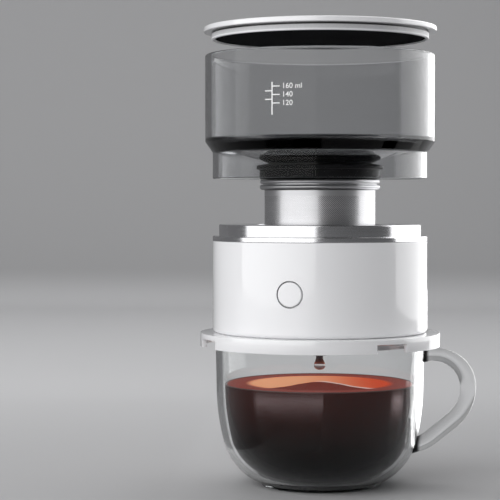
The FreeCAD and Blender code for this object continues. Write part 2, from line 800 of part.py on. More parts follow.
def make_control_board():
    """The control board stands in a slotted rail behind the button, with a tact switch on its front."""
    depth = "board_t + 2 * (rail_wall + part_play)"
    front = "-board_front - rail_wall - part_play"
    block = box("rail_block", "board_width + 2 * rail_grip", depth, "rail_height",
                "-board_width / 2 - rail_grip", front, "deck_top")
    middle = box("rail_middle", "board_width - 2 * rail_grip", depth, "rail_height",
                 "-board_width / 2 + rail_grip", front, "deck_top + holder_wall")
    groove = box("rail_groove", "board_width + 2 * part_play", "board_t + 2 * part_play", "rail_height",
                 "-board_width / 2 - part_play", "-board_front - part_play", "deck_top + holder_wall")
    cut("board_holder", block, middle, groove)
    box("control_board", "board_width", "board_t", "board_height", "-board_width / 2", "-board_front",
        "deck_top + holder_wall")
    case = box("switch_case", "switch_side", "switch_t", "switch_side", "-switch_side / 2",
               "-board_front - switch_t", "button_z - switch_side / 2")
    plunger = rod("switch_plunger", "plunger_r", "plunger_height + switch_t / 2", "0",
                  "-board_front - switch_t / 2", "button_z", turn=((1, 0, 0), 90))
    join("tact_switch", case, plunger)


def make_button():
    """The button's face follows the shell's round, and its flange keeps it from falling out."""
    along = ((1, 0, 0), 90)
    stem = rod("button_stem", "button_r", "body_r", "0", "-button_back", "button_z", turn=along)
    flange = rod("button_rim", "button_r + button_flange", "button_flange_t", "0", "-button_back",
                 "button_z", turn=along)
    blank = join("button_blank", stem, flange)
    limit = rod("button_limit", "body_r", "body_height", "0", "0", "deck_z")
    button = doc.addObject("Part::Common", "power_button")
    button.Base = blank
    button.Tool = limit
    button.Label = "power_button"


def make_socket():
    """The charge socket lies on a small board on the deck and looks out of the shell's back."""
    box("charge_board", "charge_board_width", "charge_board_depth", "board_t", "-charge_board_width / 2",
        "charge_front - charge_board_depth", "deck_top")
    socket = new_body("charge_socket")
    skin = new_sketch(socket, "XZ_Plane", "-charge_y")
    draw(skin, socket_outline("0"))
    pad(socket, skin, "socket_depth")
    hollow = new_sketch(socket, "XZ_Plane", "-charge_y")
    draw(hollow, socket_outline("socket_skin"))
    pocket(socket, hollow, "socket_depth - socket_set", reverse=True)
    tongue = new_sketch(socket, "XZ_Plane", "-charge_y + socket_set")
    draw(tongue, rectangle("-tongue_width / 2", "socket_z - tongue_t / 2", "tongue_width / 2",
                           "socket_z + tongue_t / 2"))
    pad(socket, tongue, "socket_depth - socket_set - tongue_set")


def socket_outline(skin):
    """Outline the socket's mouth, drawn in by a skin."""
    half_w, half_h = f"(socket_width / 2 - {skin})", f"(socket_height / 2 - {skin})"
    return rounded(f"-{half_w}", f"socket_z - {half_h}", half_w, f"socket_z + {half_h}",
                   f"(socket_corner - {skin})")


# Filter, tank and lid, which the photographed pose holds raised

def make_filter():
    """The steel filter cup has two rolled beads at its rim and a perforated floor on an inner lip."""
    cup_in = "filter_r - filter_wall"
    cup = turned("filter_cup", [
        (f"{cup_in} - mesh_lip", "filter_foot"),
        ("filter_r", "filter_foot"),
        ("filter_r", "rim_under"),
        ("rim_r", "rim_under"),
        ("rim_r", "rim_under + bead_span", "bead_arc"),
        ("rim_r", "rim_top - bead_span"),
        ("rim_r", "rim_top", "bead_arc"),
        (cup_in, "rim_top"),
        (cup_in, "filter_foot + filter_wall"),
        (f"{cup_in} - mesh_lip", "filter_foot + filter_wall"),
    ])
    place(cup, z="tank_raise")
    mesh = new_body("filter_mesh")
    disc = new_sketch(mesh, "XY_Plane", "filter_foot + filter_wall")
    draw_circle(disc, "0", "0", f"{cup_in} - part_play")
    pad(mesh, disc, "mesh_t")
    for ring in range(1, round(value("mesh_rings")) + 1):
        holes = new_sketch(mesh, "XY_Plane", "filter_foot + filter_wall")
        draw_circle(holes, f"{ring} * mesh_pitch", "0", "mesh_hole_r")
        polar(mesh, pocket(mesh, holes, "mesh_t", reverse=True), holes, f"{ring} * ring_holes")
    place(mesh, z="tank_raise")


def make_tank():
    """The clear tank has a conical floor over a skirt, with a round outlet that holds the soft seal."""
    tank = turned("water_tank", [
        ("skirt_bore", "0"),
        ("body_r", "0"),
        ("body_r", "tank_skirt"),
        ("tank_r", "tank_skirt + tank_chamfer"),
        ("tank_r", "tank_height - tank_rim_round"),
        ("tank_r - tank_rim_round", "tank_height", "tank_rim_round"),
        ("tank_bore + tank_rim_round", "tank_height"),
        ("tank_bore", "tank_height - tank_rim_round", "tank_rim_round"),
        ("tank_bore", "wall_floor"),
        ("outlet_r", "outlet_top"),
        ("outlet_r", "outlet_rise"),
        ("skirt_bore", "skirt_floor"),
    ])
    seal = turned("tank_seal", [
        ("seal_bore", "0"),
        ("bead_r", "0"),
        ("bead_r", "seal_body"),
        ("lip_r", "seal_body"),
        ("lip_r", "seal_body + seal_lip_t"),
        ("neck_r", "outlet_rise - seal_play"),
        ("neck_r", "outlet_top + seal_play"),
        ("bead_r", "upper_lip"),
        ("bead_r", "upper_lip + seal_top"),
        ("seal_bore", "upper_lip + seal_top"),
        ("seal_bore", "outlet_rise + plate_t"),
        ("seal_bore + plate_groove", "outlet_rise + plate_t"),
        ("seal_bore + plate_groove", "outlet_rise"),
        ("seal_bore", "outlet_rise"),
    ])
    plate = new_body("drip_plate")
    disc = new_sketch(plate, "XY_Plane", "outlet_rise + running_fit")
    draw_circle(disc, "0", "0", "seal_bore + plate_groove - part_play")
    pad(plate, disc, "plate_t - 2 * running_fit")
    for ring in range(1, round(value("drip_rings")) + 1):
        holes = new_sketch(plate, "XY_Plane", "outlet_rise + running_fit")
        draw_circle(holes, f"{ring} * seal_bore / (drip_rings + 1)", "0", "drip_hole_r")
        polar(plate, pocket(plate, holes, "plate_t", reverse=True), holes, f"{ring} * ring_holes")
    for piece in (tank, seal, plate):
        place(piece, z="tank_base")


def make_lid():
    """The lid is a rounded plate on a plug ring that drops into the tank, with a black liner inside it."""
    top = turned("lid_top", [
        ("0", "0"),
        ("lid_r - lid_round", "0"),
        ("lid_r", "lid_round", "lid_round"),
        ("lid_r", "lid_t - lid_round"),
        ("lid_r - lid_round", "lid_t", "lid_round"),
        ("0", "lid_t"),
    ])
    plug = turned("lid_plug", [
        ("plug_r - plug_wall", "-plug_depth"),
        ("plug_r - plug_line", "-plug_depth"),
        ("plug_r", "plug_line - plug_depth", "plug_line"),
        ("plug_r", "-plug_line"),
        ("plug_r - plug_line", "-plug_line"),
        ("plug_r - plug_line", "0"),
        ("plug_r - plug_wall", "0"),
    ])
    liner = turned("lid_liner", rectangle("0", "liner_step - plug_depth",
                                          "plug_r - plug_wall - part_play", "0"))
    for piece in (top, plug, liner):
        place(piece, z="lid_base")


NODES = [
    "glass_mug", "mug_handle", "seat_ring", "lower_cover", "body_shell", "top_ring", "inner_frame",
    "drip_funnel", "drip_nozzle", "carrier_bush", "filter_carrier", "grip_ring", "gear_motor", "motor_shaft",
    "motor_pinion", "motor_bracket", "motor_screws", "case_screws", "battery", "battery_holder",
    "control_board", "board_holder", "tact_switch", "power_button", "charge_board", "charge_socket",
    "filter_cup", "filter_mesh", "water_tank", "tank_seal", "drip_plate", "lid_top", "lid_plug", "lid_liner",
]


def check_document():
    """Stop unless every object came out sound and every piece has a valid solid."""
    for thing in doc.Objects:
        if "Invalid" in thing.State or "Error" in thing.State:
            raise RuntimeError(f"{thing.Label} failed: {thing.State}")
    for node in NODES:
        shape = doc.getObjectsByLabel(node)[0].Shape
        if shape.isNull() or not shape.isValid() or not shape.Solids:
            raise RuntimeError(node + " has no valid solid")


def main():
    make_mug()
    make_cover()
    make_shell()
    make_top_ring()
    make_frame()
    make_funnel()
    make_bush()
    make_carrier()
    make_motor()
    make_case_screws()
    make_battery()
    make_control_board()
    make_button()
    make_socket()
    make_filter()
    make_tank()
    make_lid()
    doc.recompute()
    check_document()
    os.makedirs("parts", exist_ok=True)
    for node in NODES:
        doc.getObjectsByLabel(node)[0].Shape.exportStep(os.path.join("parts", node + ".step"))


main()
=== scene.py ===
"""Looks of a one-cup drip coffee maker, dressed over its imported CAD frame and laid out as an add-on."""
import json
import math

import bmesh
import bpy
from bpy.props import FloatProperty, FloatVectorProperty, IntProperty, PointerProperty, StringProperty
from mathutils import Matrix, Vector


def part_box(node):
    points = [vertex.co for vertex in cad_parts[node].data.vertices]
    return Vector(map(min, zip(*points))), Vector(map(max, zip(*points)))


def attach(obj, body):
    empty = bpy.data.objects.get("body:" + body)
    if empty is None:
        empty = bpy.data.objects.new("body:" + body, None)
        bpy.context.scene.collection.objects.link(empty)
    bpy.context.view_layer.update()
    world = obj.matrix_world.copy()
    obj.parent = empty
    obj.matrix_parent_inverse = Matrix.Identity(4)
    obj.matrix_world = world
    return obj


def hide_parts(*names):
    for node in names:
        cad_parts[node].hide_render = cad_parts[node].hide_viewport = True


bl_info = {
    "name": "Drip coffee maker looks",
    "version": (1, 0, 0),
    "blender": (4, 5, 0),
    "location": "3D View > Sidebar > Coffee maker",
    "description": "Builds the visible pieces of a one-cup drip coffee maker on its CAD frame",
    "category": "Object",
}

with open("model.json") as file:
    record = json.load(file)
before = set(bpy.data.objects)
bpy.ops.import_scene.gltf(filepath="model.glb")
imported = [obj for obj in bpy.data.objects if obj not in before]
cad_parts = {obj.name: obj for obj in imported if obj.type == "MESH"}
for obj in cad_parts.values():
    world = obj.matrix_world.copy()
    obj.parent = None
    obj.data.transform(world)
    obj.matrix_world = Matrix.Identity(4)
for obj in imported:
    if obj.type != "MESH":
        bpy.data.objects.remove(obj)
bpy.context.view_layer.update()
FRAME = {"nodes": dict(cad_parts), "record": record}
MM = 0.001
SEGMENTS = 192
FINE_SEGMENTS = 256
FRONT = -math.pi / 2
SMOOTH_ANGLE = math.radians(32)
BEVEL_ANGLE = math.radians(35)
BUTTON_RADIUS = 4.75 * MM
SOCKET_GAP = 0.3 * MM

# Radii of outlines, in millimetres
SHELL_RADIUS = 43.0
CUP_RADIUS = 22.2


def heights(node, unit=MM):
    """The lowest and highest height of a CAD node, in millimetres unless a unit in metres is given."""
    return [corner.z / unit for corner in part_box(node)]


# Settings that a user would change

def field(kind, **fixed):
    """A kind of setting, which is called with a name, what it says and a default."""
    def made(name, description, default):
        return kind(name=name, description=description, default=default, **fixed)
    return made


def angle(name, description, degrees):
    return FloatProperty(name=name, description=description, default=math.radians(degrees), subtype="ANGLE",
                         unit="ROTATION")


amount = field(FloatProperty)
length = field(FloatProperty, subtype="DISTANCE", unit="LENGTH", precision=5)
share = field(FloatProperty, min=0, max=1, subtype="FACTOR")
colour = field(FloatVectorProperty, min=0, max=1, size=3, subtype="COLOR")


class MugSettings(bpy.types.PropertyGroup):
    """Sizes and colours of the glass mug and of the coffee in it."""
    glass: colour("Glass", "Tint of the mug's glass", (0.99, 0.995, 0.995))
    handle_turn: angle("Handle turn", "Turn of the handle about the machine's axis", 15.5)
    rod_top: length("Rod at top", "Radius of the handle's rod where it leaves the bowl's top", 0.0024)
    rod_middle: length("Rod at middle", "Radius of the handle's rod at its widest", 0.0032)
    rod_foot: length("Rod at foot", "Radius of the handle's rod at its lower end", 0.0030)
    level: length("Coffee level", "Height of the coffee's surface over the table", 0.0410)
    wall_gap: length("Coffee gap", "Room left between the coffee and the glass", 0.0011)
    dark: colour("Coffee, deep", "Colour of the coffee where it is deep", (0.0035, 0.003, 0.003))
    red: colour("Coffee, side", "Colour of the coffee's side near its surface", (0.105, 0.020, 0.014))
    amber: colour("Coffee, lit", "Colour of the surface where light comes through", (0.95, 0.46, 0.25))
    ember: colour("Coffee, far", "Colour of the surface away from the light", (0.70, 0.09, 0.03))


class BaseSettings(bpy.types.PropertyGroup):
    """Colours and sizes of the white base and its steel ring."""
    plastic: colour("Plastic", "Colour of the glossy moulded pieces", (0.89, 0.89, 0.905))
    roughness: share("Gloss roughness", "Roughness of the glossy plastic", 0.3)
    steel: colour("Steel", "Colour of the brushed steel", (0.66, 0.66, 0.675))
    notch_span: angle("Notch span", "Width of one notch in the cover's skirt", 17.0)
    notch_turn: angle("Notch turn", "Turn of the notches from the front and the back", 51.0)
    button_gap: length("Button gap", "Gap round the push button", 0.0005)


class TankSettings(bpy.types.PropertyGroup):
    """Colours and sizes of the tank, its printed scale and the lid."""
    smoke: colour("Tank", "Tint of the tank's clear plastic", (0.86, 0.865, 0.87))
    rubber: colour("Seal", "Colour of the black silicone", (0.010, 0.010, 0.0105))
    ink: colour("Print", "Colour of the printed scale", (0.92, 0.92, 0.92))
    mark_pitch: length("Mark pitch", "Height between two numbered marks", 0.00319)
    mark_count: field(IntProperty, min=2)("Marks", "How many numbered marks the scale has", 3)
    digit_height: length("Digit height", "Height of the printed numbers", 0.00206)
    unit_word: field(StringProperty)("Unit", "Unit printed after the top mark", "ml")


class StageSettings(bpy.types.PropertyGroup):
    """Camera, light and floor."""
    distance: length("Camera distance", "Distance from the machine's axis to the camera", 0.700)
    height: length("Camera height", "Height of the camera over the floor", 0.113)
    azimuth: angle("Camera azimuth", "Turn of the camera round the machine, from the front", 15.5)
    yaw: angle("Camera yaw", "Turn of the camera to the left of the machine's axis", 2.296)
    pitch: angle("Camera pitch", "Tilt of the camera below the horizon", 1.533)
    lens: field(FloatProperty, unit="CAMERA")("Lens", "Focal length on a 36 mm sensor", 125.4)
    floor: colour("Floor", "Colour of the floor and backdrop", (0.70, 0.70, 0.71))
    key: amount("Key light", "Brightness of the front left softbox", 2.06)
    side: amount("Side light", "Brightness of the right panel", 2.0)
    top: amount("Top light", "Brightness of the overhead softbox", 1.2)
    ambient: amount("Ambient", "Strength of the even light all round", 0.12)


SETTINGS = {"mug": MugSettings, "base": BaseSettings, "tank": TankSettings, "stage": StageSettings}


def settings(name):
    return getattr(bpy.context.scene, "coffee_maker_" + name)


# Node trees written as expressions

class Sock:
    """A node's output. Python's operators on it add Math nodes."""

    def __init__(self, graph, socket):
        self.graph = graph
        self.socket = socket

    def math(self, operation, *others):
        return self.graph.node("ShaderNodeMath", {"operation": operation}, dict(enumerate((self, *others))))

    def __add__(self, other):
        return self.math("ADD", other)

    def __sub__(self, other):
        return self.math("SUBTRACT", other)

    def __rsub__(self, other):
        return self.graph.node("ShaderNodeMath", {"operation": "SUBTRACT"}, {0: other, 1: self})

    def __mul__(self, other):
        return self.math("MULTIPLY", other)

    def __truediv__(self, other):
        return self.math("DIVIDE", other)

    def __pow__(self, other):
        return self.math("POWER", other)

    __radd__ = __add__
    __rmul__ = __mul__

    def between(self, low, high):
        """Rise smoothly from 0 at low to 1 at high."""
        return self.graph.node("ShaderNodeMapRange", {"interpolation_type": "SMOOTHSTEP"},
                               {"Value": self, "From Min": low, "From Max": high})

    def band(self, start, full, last, end):
        """Rise from 0 at start to 1 at full, and fall from 1 at last to 0 at end."""
        return self.between(start, full) * (1 - self.between(last, end))


class Graph:
    """A node tree, and the one method that adds its nodes."""

    def __init__(self, tree):
        self.tree = tree

    def node(self, kind, options=None, sockets=None, out=0):
        """Add a node: its options are set first, then its sockets get values or links."""
        made = self.tree.nodes.new(kind)
        for name, option in (options or {}).items():
            setattr(made, name, option)
        for key, given in (sockets or {}).items():
            self.feed(made.inputs[key], given)
        return Sock(self, made.outputs[out] if made.outputs else None)

    def feed(self, socket, given):
        """Give a socket a value, a link, or a list of links."""
        if isinstance(given, list):
            for one in given:
                self.feed(socket, one)
        elif isinstance(given, Sock):
            self.tree.links.new(given.socket, socket)
        elif socket.type == "RGBA" and len(given) == 3:
            socket.default_value = (*given, 1)
        else:
            socket.default_value = given

    def vector(self, x, y, z):
        return self.node("ShaderNodeCombineXYZ", None, {0: x, 1: y, 2: z})

    def parts(self, vector):
        return [self.node("ShaderNodeSeparateXYZ", None, {0: vector}, out=k) for k in range(3)]

    def copies(self, points, given):
        """Set an object on every point."""
        shape = self.node("GeometryNodeObjectInfo", None, {"Object": given}, out="Geometry")
        return self.node("GeometryNodeInstanceOnPoints", None, {"Points": points, "Instance": shape})


class Finish(Graph):
    """A procedural material on Object coordinates."""

    def __init__(self, name, **fixed):
        self.material = bpy.data.materials.new(name)
        self.material.use_nodes = True
        super().__init__(self.material.node_tree)
        self.shader = self.tree.nodes["Principled BSDF"]
        for socket, given in fixed.items():
            self.set(socket, given)
        self.place = self.node("ShaderNodeTexCoord", out="Object")
        self.x, self.y, self.z = self.parts(self.place)

    def set(self, socket, given):
        self.feed(self.shader.inputs[socket.replace("_", " ")], given)

    def noise(self, scale, detail=2.0, where=None, roughness=0.5):
        return self.node("ShaderNodeTexNoise", None, {"Vector": where or self.place, "Scale": scale,
                                                      "Detail": detail, "Roughness": roughness})

    def mix(self, factor, first, second):
        return self.node("ShaderNodeMix", {"data_type": "RGBA"}, {0: factor, 6: first, 7: second}, out=2)

    def tint(self, factor, tone, dark, light):
        """A colour that varies between a darker and a lighter shade of one tone."""
        return self.mix(factor, shaded(tone, dark), shaded(tone, light))

    def smoke(self, tone, density):
        """Let the depth of the material darken what is seen through it."""
        depth = self.node("ShaderNodeVolumeAbsorption", None, {"Color": tone, "Density": density})
        self.feed(self.tree.nodes["Material Output"].inputs["Volume"], depth)

    def radius(self):
        return (self.x * self.x + self.y * self.y) ** 0.5

    def straight(self):
        """1 for a ray that came straight through glass, with no reflection on its way."""
        passed = self.node("ShaderNodeLightPath", out="Is Transmission Ray")
        mirrored = self.node("ShaderNodeLightPath", out="Glossy Depth")
        return passed * (1 - mirrored.math("MINIMUM", 1.0))

    def done(self, colour, roughness, height=None, distance=0.0, strength=0.0):
        """Set what varies on every finish, with a bump if it has a height, and give the material."""
        self.set("Base Color", colour)
        self.set("Roughness", roughness)
        if height:
            relief = {"Strength": strength, "Distance": distance, "Height": height}
            self.set("Normal", self.node("ShaderNodeBump", None, relief))
        return self.material


def shaded(tone, factor):
    return tuple(min(1.0, part * factor) for part in tone)


# Finishes

def white_gloss(name, tone, roughness):
    """Glossy moulded plastic with a faint orange peel and fine handling marks."""
    finish = Finish(name, IOR=1.5, Coat_Roughness=0.03, Coat_IOR=1.5)
    cloud, marks, peel = finish.noise(28, 3), finish.noise(1900, 3), finish.noise(420, 2)
    finish.set("Coat Weight", 0.85 + cloud * 0.1)
    rough = roughness * 0.8 + marks * (roughness * 0.25) + cloud * (roughness * 0.2)
    return finish.done(finish.tint(cloud, tone, 0.985, 1.01), rough, peel + marks * 0.15, 0.00002, 0.25)


def shade_painted_ring(name, tone, roughness):
    """The lid's plug: a white lip, then a satin grey band and a near black groove under the plate, both
    painted shade.
    """
    finish = Finish(name, IOR=1.5)
    low, high = heights("lid_plug", 1.0)
    lip = finish.z.between(low + 0.0005, low + 0.0009)
    groove = finish.z.between(high - 0.0008, high - 0.0005)
    grain = finish.noise(1500, 3)
    # painted shade: above its white lip the band is painted grey, the shade under the plate
    band = finish.mix(lip, tone, finish.tint(grain, tone, 0.60, 0.76))
    # painted shade: the groove right under the plate is painted near black
    return finish.done(finish.mix(groove, band, (0.02, 0.02, 0.02)), roughness + grain * 0.2,
                       grain, 0.00003, 0.2)


def brushed_steel(name, tone, roughness, pitch=None):
    """Stainless steel brushed round the machine's axis. A pitch etches dots on the filter's wall and paints a
    line of shade under its lower bead.
    """
    finish = Finish(name, Metallic=1.0)
    radius, drift = finish.radius(), finish.x * 26 + finish.y * 9
    flows = [finish.vector(radius * count + drift, finish.y * bend, finish.z * count)
             for count, bend in ((9000, 40), (1600, 12))]
    fine, broad = (finish.noise(1.0, 2, flow) for flow in flows)
    lines = fine * 0.6 + broad * 0.4
    steel = finish.tint(lines, tone, 0.82, 1.14)
    if pitch:
        foot, rim = heights("filter_cup", 1.0)
        turn = finish.y.math("ARCTAN2", finish.x) * round(2 * math.pi * CUP_RADIUS * MM / pitch)
        rise = finish.z * (2 * math.pi / pitch)
        wall = finish.z.band(foot + 0.003, foot + 0.004, rim - 0.007, rim - 0.006)
        dots = (turn.math("SINE") * rise.math("SINE")).between(0.3, 0.6) * wall
        # painted shade: a dark line under the lower bead of the filter's rim
        bead_shade_line = finish.z.band(rim - 0.0044, rim - 0.0043, rim - 0.0040, rim - 0.0039)
        steel = finish.mix(dots * 0.35 + bead_shade_line * 0.9, steel, shaded(tone, 0.25))
        lines = lines - dots
    return finish.done(steel, roughness * 0.7 + lines * (roughness * 0.6), lines, 0.00003, 0.08)


def clear_glass(name, tone):
    """Clear blown glass, very slightly wavy."""
    finish = Finish(name, IOR=1.47, Transmission_Weight=1.0, Specular_Tint=(0.42, 0.42, 0.42))
    finish.smoke((0.1, 0.14, 0.14), 26.0)
    return finish.done(tone, finish.noise(60, 2) * 0.012, finish.noise(55, 1), 0.0002, 0.04)


def drawn_rod(name, tone):
    """The handle's glass: clear, and painted dark where the weld to the bowl traps the light."""
    finish = Finish(name, IOR=1.2, Transmission_Weight=1.0, Specular_Tint=(0.4, 0.4, 0.4))
    # painted shade: near black close to the bowl, where the rod is welded to it
    away = finish.radius() - finish.z.between(0.012, 0.035) * 0.0038
    glass = finish.mix(away.between(0.0387, 0.0404), (0.02, 0.02, 0.02), tone)
    return finish.done(glass, finish.noise(60, 2) * 0.012, finish.noise(90, 1), 0.0002, 0.03)


def smoky_plastic(name, tone):
    """Clear smoky plastic with faint mould flow, a dark chamfer over its foot and a glossier floor."""
    finish = Finish(name, IOR=1.5, Transmission_Weight=1.0, Specular_Tint=(0.15, 0.15, 0.15))
    finish.smoke((0.0, 0.01, 0.03), 58.0)
    foot, radius = heights("water_tank", 1.0)[0], finish.radius()
    flow = finish.noise(1.0, 2, finish.vector(finish.x * 30, finish.y * 30, finish.z * 8))
    chamfer = finish.z.band(foot + 0.0098, foot + 0.0108, foot + 0.0146, foot + 0.0152)
    chamfer = chamfer * radius.between(0.0426, 0.0431)
    floor = finish.z.band(foot + 0.0055, foot + 0.0062, foot + 0.0145, foot + 0.0155)
    floor = floor * radius.band(0.0245, 0.0260, 0.0400, 0.0412)
    finish.set("Coat Weight", floor * 0.5)
    clear = finish.mix(chamfer, finish.tint(flow, tone, 0.97, 1.02), shaded(tone, 0.05))
    return finish.done(clear, finish.noise(240, 2) * 0.03 + 0.004, flow, 0.0002, 0.03)


def soft_rubber(name, tone, roughness, sheen):
    """Satin silicone with a fine grain and a little dust."""
    finish = Finish(name, IOR=1.42, Specular_IOR_Level=sheen)
    dust = finish.noise(900, 4)
    return finish.done(finish.tint(dust, tone, 0.75, 1.6), roughness - 0.08 + dust * 0.18,
                       dust, 0.00003, 0.06)


def moulded_plastic(name, tone, roughness):
    """Matte moulded plastic with a spark-eroded grain."""
    finish = Finish(name, IOR=1.48)
    grain, cloud = finish.noise(2600, 3), finish.noise(50, 2)
    return finish.done(finish.tint(cloud, tone, 0.92, 1.06), roughness - 0.06 + grain * 0.16,
                       grain, 0.00002, 0.3)


def plain_metal(name, tone):
    """Turned or stamped metal with fine tool marks and light stains."""
    finish = Finish(name, Metallic=1.0)
    marks = finish.noise(1.0, 3, finish.vector(finish.x * 500, finish.y * 500, finish.z * 5200))
    stained = finish.tint(finish.noise(160, 3), tone, 0.86, 1.05)
    return finish.done(stained, 0.23 + marks * 0.14, marks, 0.00002, 0.2)


def pouch_film(name, tone):
    """Silvery battery film, crinkled over the cell."""
    finish = Finish(name, Metallic=0.65)
    crinkle = finish.noise(260, 4, roughness=0.6)
    return finish.done(finish.tint(crinkle, tone, 0.8, 1.15), 0.26 + crinkle * 0.2, crinkle, 0.0002, 0.35)


def circuit_board(name, tone):
    """Green solder mask over straight copper tracks, with bare pads."""
    finish = Finish(name, IOR=1.5)
    across, along = (finish.node("ShaderNodeTexWave", {"bands_direction": axis},
                                 {"Vector": finish.place, "Scale": scale, "Distortion": bend, "Detail": 0.0})
                     for axis, scale, bend in (("X", 130.0, 2.0), ("Z", 110.0, 2.5)))
    tracks = across.math("MAXIMUM", along).between(0.8, 0.9)
    spots = finish.node("ShaderNodeTexVoronoi", None, {"Vector": finish.place, "Scale": 330.0})
    pads = 1 - spots.between(0.13, 0.18)
    finish.set("Metallic", pads * 0.9)
    mask = finish.tint(tracks, tone, 0.7, 1.35)
    return finish.done(finish.mix(pads, mask, (0.72, 0.70, 0.66)), 0.36 - pads * 0.1,
                       tracks + pads, 0.00003, 0.6)


def printed_ink(name, tone):
    """White screen print with a slightly open grain."""
    finish = Finish(name, IOR=1.45)
    grain = finish.noise(3200, 3)
    return finish.done(finish.tint(grain, tone, 0.94, 1.0), 0.42 + grain * 0.16)


def brewed_coffee(name, mug):
    """Coffee seen from the side, with painted light: near black where it is deep, brown red near its surface
    where light comes in from the top, and a painted highlight just under its surface.
    """
    finish = Finish(name, IOR=1.34, Specular_IOR_Level=0.06)
    rise = finish.z.between(mug.level * 0.1, mug.level * 1.05)
    cloud = finish.noise(24, 2)
    # painted light: the side turns from near black to brown red towards the surface
    side = finish.mix(rise * rise * (0.8 + cloud * 0.4), mug.dark, mug.red)
    # painted highlight: a pale line just under the surface
    edge = finish.z.between(mug.level - 0.0004, mug.level - 0.0001)
    return finish.done(finish.mix(edge * 0.7, side, (0.45, 0.30, 0.28)), 0.03 + cloud * 0.03)


def coffee_top(name, mug):
    """The coffee's surface, glowing with painted light: amber where light comes through, dark red at its rim,
    with a slow wave and a painted highlight along its crest.
    """
    # painted light: the whole surface glows with its own base colour
    finish = Finish(name, IOR=1.34, Specular_IOR_Level=0.0, Emission_Strength=0.6)
    swirl = finish.noise(1.0, 2, finish.vector(finish.x * 38, finish.y * 38, 0.0))
    across = finish.x * 0.96 + finish.y * 0.27
    depth = finish.y * 0.96 - finish.x * 0.27 + swirl * 0.004
    hump = (across * across * -6000.0).math("EXPONENT")
    shore = depth - hump * 0.029 + 0.021
    rim = finish.radius().between(0.0265, 0.0305)
    glow = finish.mix(across.between(-0.012, 0.026), mug.amber, mug.ember)
    # painted highlight: a pale line along the wave's crest
    crest_highlight = shore.band(-0.003, 0.0, 0.0, 0.003) * across.between(-0.004, 0.004)
    body = finish.mix(shore.between(-0.002, 0.001), shaded(mug.red, 1.8), glow)
    highlighted = finish.mix(crest_highlight * 0.9, body, (0.95, 0.80, 0.76))
    painted_light = finish.mix(rim, highlighted, shaded(mug.red, 2.6))
    finish.set("Emission Color", painted_light)
    finish.set("Coat Weight", rim * 0.1 + 0.03)
    return finish.done(painted_light, 0.25 + swirl * 0.1, swirl, 0.0004, 0.15)


def coffee_drop(name):
    """A hanging drop of thin coffee: clear brown, with a painted highlight band under a neck painted dark."""
    finish = Finish(name, IOR=1.34, Transmission_Weight=1.0)
    veil = finish.noise(500, 2)
    nozzle = heights("drip_nozzle", 1.0)[0]
    # painted highlight: a pale band under a neck painted near black
    neck = finish.z.between(nozzle - 0.0036, nozzle - 0.0030)
    band = finish.z.between(nozzle - 0.0044, nozzle - 0.0041)
    low = finish.mix(veil, (0.46, 0.30, 0.29), (0.62, 0.44, 0.42))
    upper = finish.mix(neck, (1.0, 0.93, 0.91), (0.05, 0.025, 0.025))
    return finish.done(finish.mix(band, low, upper), 0.02 + veil * 0.03)


def studio_paper(name, tone):
    """Seamless paper with a faint tooth, with painted shade: darker on the floor towards the front, lighter
    further back, and greyer up the wall.
    """
    finish = Finish(name, IOR=1.4, Specular_IOR_Level=0.2)
    tooth = finish.noise(700, 2)
    away = finish.y * 0.964 - finish.x * 0.267
    # painted shade: the floor is darker towards the front and lighter away from it
    paper = finish.tint(away.between(-0.05, 0.42), tone, 0.84, 1.16)
    # painted shade: greyer up the wall
    wall = finish.mix(finish.z.between(0.0, 0.04), paper, shaded(tone, 0.76))
    return finish.done(finish.mix(tooth * 0.04, wall, shaded(tone, 0.5)), 0.55 + tooth * 0.1)


def stage_card(name, tone, glow=0.0, fade=None):
    """A card or glowing panel that a straight look through glass doesn't meet, but a mirrored one does.

    A fade gives the radii between which its glow swells and falls.
    """
    finish = Finish(name, Base_Color=tone, Roughness=0.8, Emission_Color=tone, Emission_Strength=glow)
    if fade:
        finish.set("Base Color", (0, 0, 0))
        finish.set("Specular IOR Level", 0.0)
        finish.set("Emission Color", finish.mix(finish.radius().band(*fade), (0.14, 0.14, 0.14), tone))
    clear = finish.node("ShaderNodeBsdfTransparent")
    card = Sock(finish, finish.shader.outputs[0])
    seen = finish.node("ShaderNodeMixShader", None, {0: finish.straight(), 1: card, 2: clear})
    finish.feed(finish.tree.nodes["Material Output"].inputs["Surface"], seen)
    return finish.material


FINISHES = {}


